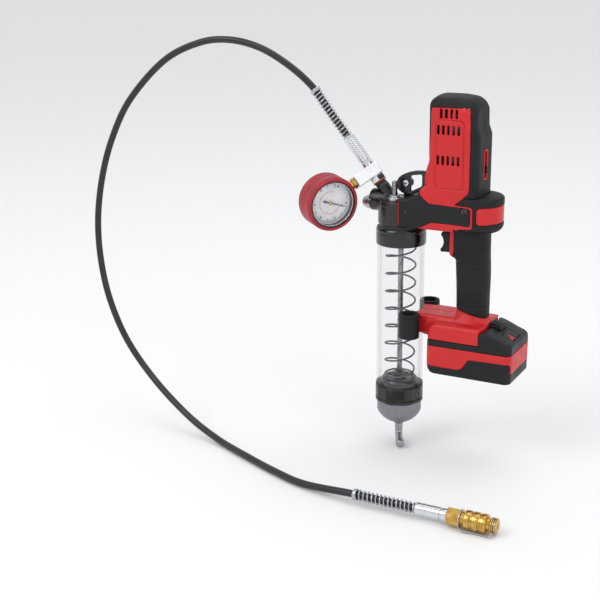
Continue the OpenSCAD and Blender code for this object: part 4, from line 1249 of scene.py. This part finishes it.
def build_pump_head():
    """Casting, front plug, air bleeder, strap ring and its screw."""
    s = Space((-47, -33, 294), (38, 33, 363), 0.8)
    across = np.hypot(s.x, s.y)
    drum = both(across - 29.5, np.abs(s.z - 314.5) - 17.5, 2)
    waist = 1.6 * smooth_step((303 - s.z) / 3)
    drum = np.maximum(drum, across - 29.5 + waist)
    boss = both(np.hypot(s.y, s.z - 328) - 14, np.abs(s.x + 28) - 12, 1.6)
    port = outlet_frame()
    low = np.array(port @ Vector((0, 0, -12)))
    axis = np.array(port.to_3x3() @ Vector((0, 0, 1)))
    dx, dy, dz = s.x - low[0], s.y - low[1], s.z - low[2]
    along = dx * axis[0] + dy * axis[1] + dz * axis[2]
    away = np.sqrt(np.maximum(dx * dx + dy * dy + dz * dz - along * along, 0))
    collar = both(away - 10.4, np.abs(along - 6) - 8, 1)
    head = either(either(drum, boss, 3), collar, 3)
    head = np.maximum(head, np.where(s.z > 303, s.x - 7.7, -1e3))
    lug = both(np.hypot(s.x - STRAP_X, s.z - STRAP_Z) - 6, np.abs(s.y - 6.3) - 2.9, 0.8)
    web = both(rounded_rect(s.x, s.z, 1, 7.6, 328, 353, 1), np.abs(s.y - 6.3) - 2.9, 0.8)
    head = either(head, np.minimum(lug, web), 1.5)
    bore = np.maximum(away - 8.7, 11 - along)
    face = np.hypot(s.y, s.z - PLUG_Z) - 9.2
    head = np.maximum(head, -np.minimum(bore, np.maximum(face, s.x + 35)))
    head = np.maximum(head, -(np.hypot(s.x + 3.5, s.y + 14) - 3.7))
    groove = np.maximum(np.abs(s.z - 329.6) - 0.5, 29.0 - across)
    head = np.maximum(head, -groove)
    piece("pump_head_casting", s.skin(head), black_casting, nodes=("pump_head",), sharp=0)

    low, high = span("check_plug")
    length = high[0] - low[0] + 4
    outline = [(0, 0), (4.5, 0.2), (7.4, 2.4), (8.5, 5.4), (8.5, 7.6), (8.9, 8), (8.9, length), (0, length)]
    dome = lathe(outline, edge=0.6, sides=48, steps=3)
    face_ring = lathe([(4.8, -0.3), (5.8, -0.3), (5.8, 0.8), (4.8, 0.8)], edge=0.2, sides=48)
    piece("front_plug_dome", placed(joined(dome, face_ring), along_x(low[0] + 0.35, 0, PLUG_Z)), zinc_steel,
          nodes=("check_plug",), sharp=30)

    low, high = span("bleeder_seat")
    cx, cy = (low[0] + high[0]) / 2, (low[1] + high[1]) / 2
    seat = lathe([(3.6, 0), (8.7, 0), (8.7, 3.6), (7.9, 4.6), (6.6, 4.8), (6.6, 6.4), (6.2, 6.9), (3.6, 6.9)],
                 edge=0.35)
    piece("bleeder_seat_turned", placed(seat, at(cx, cy, low[2])), zinc_steel,
          nodes=("bleeder_seat",), sharp=30)
    low, high = span("bleeder_stem")
    tall = high[2] - low[2]
    stem = lathe([(0, 0), (3.45, 0), (3.45, tall - 8), (3.1, tall - 7.6), (3.1, tall - 6.6), (3.45, tall - 6.2),
                  (3.45, tall - 1.2), (2.6, tall), (1.1, tall), (1.0, tall - 1.6), (0, tall - 1.6)], edge=0.3,
                 sides=40)
    piece("bleeder_stem_turned", placed(stem, at(cx, cy, low[2])), ground_steel, body="bleeder_stem",
          nodes=("bleeder_stem",), sharp=30)

    s = Space((-10, -5, 336), (38, 6, 378), 0.5)
    ring = outline_field(s.x, s.z + STRAP_DROP, soften(
        [(-7, 354.5), (-5, 360.5), (1, 365.5), (10, 369.5), (20, 372), (31, 372.5), (34.5, 368.5), (34.5, 354),
         (31, 350), (19, 343), (12, 340.2), (2, 341.6), (-5.6, 346.6)], 3, 4))
    window = outline_field(s.x + 1.2, s.z + STRAP_DROP, soften(
        [(13.5, 364), (15, 365.5), (27.6, 367.4), (28.8, 366), (28.8, 352.8), (14.5, 345.4), (13.5, 346.4)], 2, 3))
    plate = both(np.maximum(ring, -window), np.abs(s.y - 0.5) - 2.45, 1.2)
    screw_hole = np.hypot(s.x - STRAP_X, s.z - STRAP_Z) - 2.7
    piece("strap_ring_black", s.skin(np.maximum(plate, -screw_hole)), black_casting, body="strap_ring",
          nodes=("strap_ring",), sharp=0)

    shaft = lathe([(0, -3.6), (2.5, -3.6), (2.5, 6), (0, 6)], edge=0.2, sides=24)
    cap = lathe([(0, -4.3), (3.2, -4.3), (4.2, -3.4), (4.2, -2.3), (0, -2.3)], edge=0.4, sides=32)
    # the cross slot as a thin dark steel sheet just proud of the chrome head: painted shade standing in for the
    # recess
    cross = [block((-2.4 if k else -0.5, -0.5 if k else -2.4, -4.45), (2.4 if k else 0.5, 0.5 if k else 2.4, -4.2))
             for k in (0, 1)]
    lay = at(STRAP_X, 0, STRAP_Z) @ turned(-90, "X")
    piece("strap_screw_head", placed(joined(shaft, cap), lay), chrome, nodes=("strap_screw",),
          sharp=30)
    piece("strap_screw_slot_shade", placed(joined(*cross), lay), dark_steel, sharp=30)


# ---------------------------------------------------------------- barrel

def spring_path(turns, steps, radius, low, high):
    """A compression spring's centreline: even turns with one close turn at each end."""
    rows = []
    count = int((turns + 1.5) * steps)
    for k in range(count + 1):
        t = k / steps
        share = np.clip((t - 0.75) / turns, 0, 1)
        close = 2.1 * (min(t, 0.75) + max(t - turns - 0.75, 0))
        rows.append((radius * math.cos(2 * math.pi * t), radius * math.sin(2 * math.pi * t),
                     low + close + (high - low - 3.15) * share))
    return np.array(rows)


def build_barrel():
    """Collar, clear tube, follower, rod, spring, seat, ring nut, cap and handle."""
    low, high = span("barrel_collar")
    base, top = low[2], high[2]
    outline = [(30.2, base), (31.3, base), (31.9, base + 1), (31.9, top - 7), (31.4, top - 6), (31.9, top - 5),
               (31.9, top - 2.4), (30.6, top), (30.2, top)]
    piece("barrel_collar_turned", lathe(outline, edge=0.6, sides=96, steps=3), black_gloss,
          nodes=("barrel_collar",), sharp=30)

    low, high = span("barrel")
    outer, base, top = high[0], low[2], high[2]
    tube = lathe([(outer - 3, base), (outer - 0.05, base), (outer - 0.05, top), (outer - 3, top)], edge=0.5,
                 sides=96)
    piece("clear_barrel", tube, clear_tube, nodes=("barrel",), sharp=30)

    low, high = span("follower")
    base, top, r = low[2], high[2], high[0]
    outline = [(3.7, base), (8, base), (9, base + 1.4), (18, base + 1.4), (r - 4, base + 0.6), (r - 0.2, base),
               (r, base + 2.6), (r - 2.2, base + 4), (r - 2.2, top - 4), (r, top - 2.4), (r - 0.3, top),
               (r - 3.6, top), (r - 4.2, base + 8), (3.7, base + 8)]
    piece("follower_piston", lathe(outline, edge=0.5, sides=96), black_gloss, body="follower",
          nodes=("follower",), sharp=30)

    rod_low, rod_high = span("follower_rod")
    collar = base - 9
    outline = [(0, rod_low[2]), (3.5, rod_low[2]), (3.5, collar - 1), (5.4, collar), (7.5, collar), (7.5, base - 6),
               (6.2, base - 5.2), (6.2, base - 3.4), (7.5, base - 2.6), (7.5, base), (3.5, base), (3.5, rod_high[2]),
               (0, rod_high[2])]
    piece("follower_rod_ground", lathe(outline, edge=0.4, sides=48), ground_steel, body="follower",
          nodes=("follower_rod",), sharp=30)

    low, high = span("follower_spring")
    wire = swept(spring_path(7.6, 40, 19, low[2] + 1.2, high[2] - 1.2), 1.15, 10, side=(0, 0, 1))
    spring = piece("follower_spring_wire", wire, spring_steel, nodes=("follower_spring",), sharp=50)
    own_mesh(spring)

    low, high = span("spring_seat")
    base, top = low[2], high[2]
    outline = [(3.6, base), (28.8, base), (28.8, base + 2.9), (26.2, base + 3), (26.2, 83), (25, 86.6), (24.6, 90),
               (22.6, 93), (19, 94), (9.4, 94), (8.6, 95.4), (8, top), (4.6, top), (3.6, top - 1)]
    piece("spring_seat_turned", lathe(outline, edge=0.5, sides=96), black_gloss,
          nodes=("spring_seat",), sharp=30)

    low, high = span("ring_nut")
    s = Space((-33, -33, low[2] - 1.5), (33, 33, high[2] + 1.5), 0.7)
    across = np.hypot(s.x, s.y)
    angles = [math.pi / 8 + math.pi / 4 * k for k in range(8)]
    flats = all_of(*(s.x * math.cos(a) + s.y * math.sin(a) - 30.9 for a in angles))
    middle, half = (low[2] + high[2]) / 2, (high[2] - low[2]) / 2
    faceted = np.maximum(flats, across - 31.8)
    nut = both(faceted, np.abs(s.z - middle) - half, 1.6)
    nut = np.maximum(nut, -both(np.abs(s.z - low[2] - 5.5) - 0.7, 29.9 - across, 0.2))
    bore = np.where(s.z > low[2] + 8.2, across - 30.15, across - 29.2)
    piece("ring_nut_faceted", s.skin(np.maximum(nut, -bore)), black_gloss, nodes=("ring_nut",),
          sharp=0)

    low, high = span("end_cap")
    top, bottom = high[2], low[2]
    dome_z, dome_r = 61.6, 31.8
    dome = [(dome_r * math.sin(math.radians(a)), dome_z - dome_r * math.cos(math.radians(a)), 0.2)
            for a in range(15, 64, 6)]
    outline = [(3.6, bottom), (6.4, bottom), (7.0, bottom + 1), (7.4, bottom + 2.6), *dome, (28.9, dome_z - 12),
               (28.9, top), (25.8, top), (25.8, 60), (23, 49), (10, 38), (3.6, 36)]
    piece("end_cap_cast", lathe(outline, edge=0.5, sides=96), cast_aluminium,
          nodes=("end_cap",), sharp=30)

    low, high = span("rod_handle")
    turn = math.radians(-61)
    bend, elbow, start = 8, 17.6, high[2]
    arc = [(bend * (1 - math.cos(math.radians(a))), 0, elbow - bend * math.sin(math.radians(a)))
           for a in range(0, 81, 5)]
    last = np.array(arc[-1])
    away = np.array((math.sin(math.radians(80)), 0, -math.cos(math.radians(80))))
    tip = [last + away * d for d in (4, 9, 14, 18, 19.3, 19.9)]
    path = np.array([(0, 0, start), (0, 0, start - 0.7), (0, 0, 20), *arc, *tip])
    radii = np.full(len(path), 5.0)
    radii[0] = 4.6
    radii[-6:] = (5.3, 5.7, 5.9, 5.5, 4.6, 3.4)
    spun = path @ np.array(turned(math.degrees(turn), "Z").to_3x3()).T
    handle = swept(spun, radii, 24, side=(-math.sin(turn), math.cos(turn), 0))
    crimp = placed(lathe([(5.0, -1.2), (5.35, -0.8), (5.35, 0.8), (5.0, 1.2)], edge=0.2, sides=32),
                   at(0, 0, start - 4.5))
    piece("rod_handle_bent", joined(handle, crimp), cast_grey_steel, body="follower",
          nodes=("rod_handle",), sharp=40)


# ---------------------------------------------------------------- outlet

def build_outlet():
    """Adapter with its hex, copper washer, hex nipple and the tee."""
    outlet = outlet_frame()
    adapter = lathe([(3, -2.6), (8.4, -2.6), (8.4, 12.5), (7.6, 13.6), (7.6, 17), (6.9, 18), (6, 18), (6, 19.6),
                     (3, 19.6)], edge=0.3, sides=48)
    piece("outlet_adapter_black", placed(adapter, outlet), black_casting,
          nodes=("outlet_adapter",), sharp=30)
    washer = lathe([(6.1, 18.3), (9.0, 18.3), (9.0, 20.0), (6.1, 20.0)], edge=0.3, sides=48)
    piece("copper_washer", placed(washer, outlet), copper, sharp=30)
    nut = prism(hexagon(10), ADAPTER_END + 2.1, NIPPLE_END - 0.6)
    face = lathe([(3, NIPPLE_END - 1), (7.8, NIPPLE_END - 1), (7.8, NIPPLE_END), (3, NIPPLE_END)], edge=0.2,
                 sides=48)
    piece("hex_nipple_plated", placed(joined(nut, face), outlet), chrome, nodes=("hex_nipple",),
          edge=0.7, sharp=30)

    tee = tee_frame()
    half = TEE_W / 2
    body = block((TEE_BACK, -half, -half), (TEE_BACK + TEE_LEN, half, half))
    piece("tee_block_plated", placed(body, tee), bright_tee, nodes=("tee_block",), edge=1.2)
    out = TEE_BACK + TEE_LEN
    stem = placed(lathe([(2, 0), (6, 0), (6, 3.2), (5, 3.8), (5, 5), (6, 5.6), (6, 16), (2, 16)], edge=0.3, sides=40),
                  tee @ along_x(out, 0, 0))
    flats = placed(prism(hexagon(7.2), 0.6, 4.4), tee @ along_x(out, 0, 0))
    piece("gauge_stem_brass", joined(stem, flats), brass, nodes=("gauge_stem",), edge=0.3, sharp=30)


# ---------------------------------------------------------------- gauge

def ring_marks(count, sweep, radius, length, width, height):
    """Marks round a dial, over sweep degrees centred on the top."""
    marks = []
    for k in range(count):
        angle = math.radians(90 + sweep / 2 - sweep * k / (count - 1))
        mark = block((radius - length, -width / 2, height), (radius, width / 2, height + 0.12))
        marks.append(placed(mark, Matrix.Rotation(angle, 4, "Z")))
    return marks


def number_shapes(values, sweep, radius, size, height):
    """Printed numbers round a dial, as thin plates."""
    shapes = []
    for k, value in enumerate(values):
        curve = bpy.data.curves.new("number", "FONT")
        curve.body = str(value)
        curve.size = size
        curve.align_x = "CENTER"
        curve.align_y = "CENTER"
        curve.extrude = 0.05
        curve.resolution_u = 3
        holder = bpy.data.objects.new("number", curve)
        bpy.context.scene.collection.objects.link(holder)
        mesh = bpy.data.meshes.new_from_object(holder.evaluated_get(bpy.context.evaluated_depsgraph_get()))
        points = np.array([v.co for v in mesh.vertices], float)
        faces = [tuple(p.vertices) for p in mesh.polygons]
        bpy.data.objects.remove(holder)
        bpy.data.meshes.remove(mesh)
        angle = math.radians(90 + sweep / 2 - sweep * k / (len(values) - 1))
        shapes.append(placed((points, faces), at(radius * math.cos(angle), radius * math.sin(angle), height + 0.07)))
    return shapes


def arc_band(inner, outer, sweep, height, thickness=0.1):
    """A printed band round a dial, over sweep degrees centred on the top."""
    count = 72
    angles = [math.radians(90 + sweep / 2 - sweep * k / count) for k in range(count + 1)]
    points, faces = [], []
    for a in angles:
        for r, z in ((inner, height), (outer, height), (outer, height + thickness), (inner, height + thickness)):
            points.append((r * math.cos(a), r * math.sin(a), z))
    for k in range(count):
        for j in range(4):
            i = (j + 1) % 4
            faces.append((4 * k + j, 4 * k + i, 4 * k + 4 + i, 4 * k + 4 + j))
    faces += [(3, 2, 1, 0), tuple(4 * count + j for j in range(4))]
    return np.array(points), faces


def build_gauge():
    """Rubber boot, case, dial with its scale, pointer and lens."""
    gauge = gauge_frame()
    s = Space((-36, -36, -17), (36, 36, 19), 0.8)
    across = np.hypot(s.x, s.y)
    shape = both(across - BOOT_R + 0.5 * smooth_step((s.z + 4) / 8) * smooth_step((9 - s.z) / 4),
                 np.abs(s.z - 1) - 16.5, 4)
    window = np.maximum(across - 29.8, -1 - s.z)
    pocket = all_of(across - 31.6, s.z - 15.4, -13.4 - s.z)
    neck = np.maximum(np.hypot(s.x, s.z) - 6.2, s.y)
    shape = all_of(shape, -window, -pocket, -neck)
    piece("gauge_boot_rubber", placed(s.skin(shape), gauge), red_rubber, nodes=("gauge_boot",),
          sharp=0)

    outline = [(0, -13.4), (30.5, -13.4), (31.4, -12), (31.4, 15.3), (29.6, 15.3), (29.2, 16.6), (28.3, 16.6),
               (28.0, 14), (28.0, 5.8), (0, 5.8)]
    case = lathe(outline, edge=0.4, sides=96)
    piece("gauge_case_black", placed(case, gauge), black_gloss, nodes=("gauge_case",), sharp=30)
    bezel = lathe([(27.4, 13.6), (28.5, 13.6), (28.5, 14.9), (27.9, 14.9)], edge=0.2, sides=96)
    piece("gauge_bezel_ring", placed(bezel, gauge), chrome, sharp=30)

    dial = lathe([(0, 6.0), (27.9, 6.0), (27.9, 7.0), (0, 7.0)], edge=0.2, sides=96)
    piece("gauge_dial_white", placed(dial, gauge), dial_enamel, nodes=("gauge_dial",), sharp=30)
    face = 7.0
    black = [*ring_marks(51, 270, 24.6, 1.6, 0.3, face), *ring_marks(11, 270, 24.6, 3.6, 0.7, face),
             arc_band(24.6, 24.95, 270, face), *number_shapes(range(0, 11, 2), 270, 20.9, 4.6, face)]
    for angle in (235, 305):
        rivet = lathe([(0, 0), (1.2, 0), (1.2, 0.5), (0.7, 0.9), (0, 0.9)], edge=0.2, sides=16)
        black.append(placed(rivet, Matrix.Rotation(math.radians(angle), 4, "Z") @ at(22.5, 0, face)))
    piece("dial_scale_black", placed(joined(*black), gauge), dial_ink, sharp=40)
    red = [arc_band(13.8, 15.0, 270, face), *ring_marks(31, 270, 15.0, 2.2, 0.32, face),
           *ring_marks(7, 270, 15.0, 3.2, 0.55, face), *number_shapes(range(0, 7), 270, 10.2, 3.0, face)]
    piece("dial_scale_red", placed(joined(*red), gauge), dial_pink, sharp=40)

    rest = gauge @ turned(135, "Z")
    blade = prism([(-1.0, -9.2), (1.0, -9.2), (0.9, -3), (0.75, 3), (0.5, 15), (0.9, 16), (0, 20.5), (-0.9, 16),
                   (-0.5, 15), (-0.75, 3), (-0.9, -3)], 8.45, 9.15)
    tail = lathe([(0, 8.4), (1.6, 8.4), (1.6, 9.2), (0, 9.2)], edge=0.1, sides=24)
    shaft = lathe([(0, 7.1), (1.3, 7.1), (1.3, 9.0), (0, 9.0)], edge=0.1, sides=24)
    needle = joined(blade, placed(tail, at(0, -8.6, 0)), shaft)
    pointer = piece("gauge_pointer_black", placed(needle, rest), dial_ink, body="gauge_pointer",
                    nodes=("gauge_pointer",), edge=0.12, sharp=40)
    hub = lathe([(0, 9.0), (2.6, 9.0), (2.6, 9.5), (1.6, 10.2), (0.7, 10.2), (0.6, 9.9), (0, 9.9)], edge=0.15,
                sides=32)
    piece("gauge_pointer_hub", placed(hub, rest), brass, body="gauge_pointer", sharp=30)
    lens = lathe([(0, 11.8), (28.2, 11.8), (28.2, 13.3), (0, 13.7)], edge=0.3, sides=96)
    piece("gauge_lens_clear", placed(lens, gauge), clear_lens, nodes=("gauge_lens",), sharp=30)


# ---------------------------------------------------------------- what stays as CAD solids

def finish_insides():
    """The inner CAD solids keep their shape and get their real finish."""
    finishes = {
        "motor": dark_steel, "motor_rotor": copper_winding, "ring_gear": gear_steel, "planet_carrier": gear_steel,
        "planet_1": gear_steel, "planet_2": gear_steel, "planet_3": gear_steel, "crank_bearing": chrome,
        "pump_plunger": chrome, "check_ball": chrome, "check_spring": spring_steel,
        "trigger_switch": black_abs, "terminal_block": black_abs, "battery_cells": cell_wrap}
    for name, maker in finishes.items():
        node = frame["nodes"][name]
        node.data.materials.clear()
        node.data.materials.append(finish(maker))


OPERATORS = (GREASEGUN_OT_stage, GREASEGUN_OT_hose, GREASEGUN_OT_housing, GREASEGUN_OT_controls,
             GREASEGUN_OT_battery, GREASEGUN_OT_pump_head, GREASEGUN_OT_barrel, GREASEGUN_OT_outlet,
             GREASEGUN_OT_gauge, GREASEGUN_OT_insides)


def register():
    for kind in (GreaseGunLook, *OPERATORS, GREASEGUN_PT_sidebar):
        bpy.utils.register_class(kind)
    bpy.types.Scene.grease_gun = PointerProperty(type=GreaseGunLook)


def unregister():
    del bpy.types.Scene.grease_gun
    for kind in (GREASEGUN_PT_sidebar, *reversed(OPERATORS), GreaseGunLook):
        bpy.utils.unregister_class(kind)


def main():
    register()
    for operator in OPERATORS:
        group, name = operator.bl_idname.split(".")
        getattr(getattr(bpy.ops, group), name)()


if __name__ == "__main__":
    main()
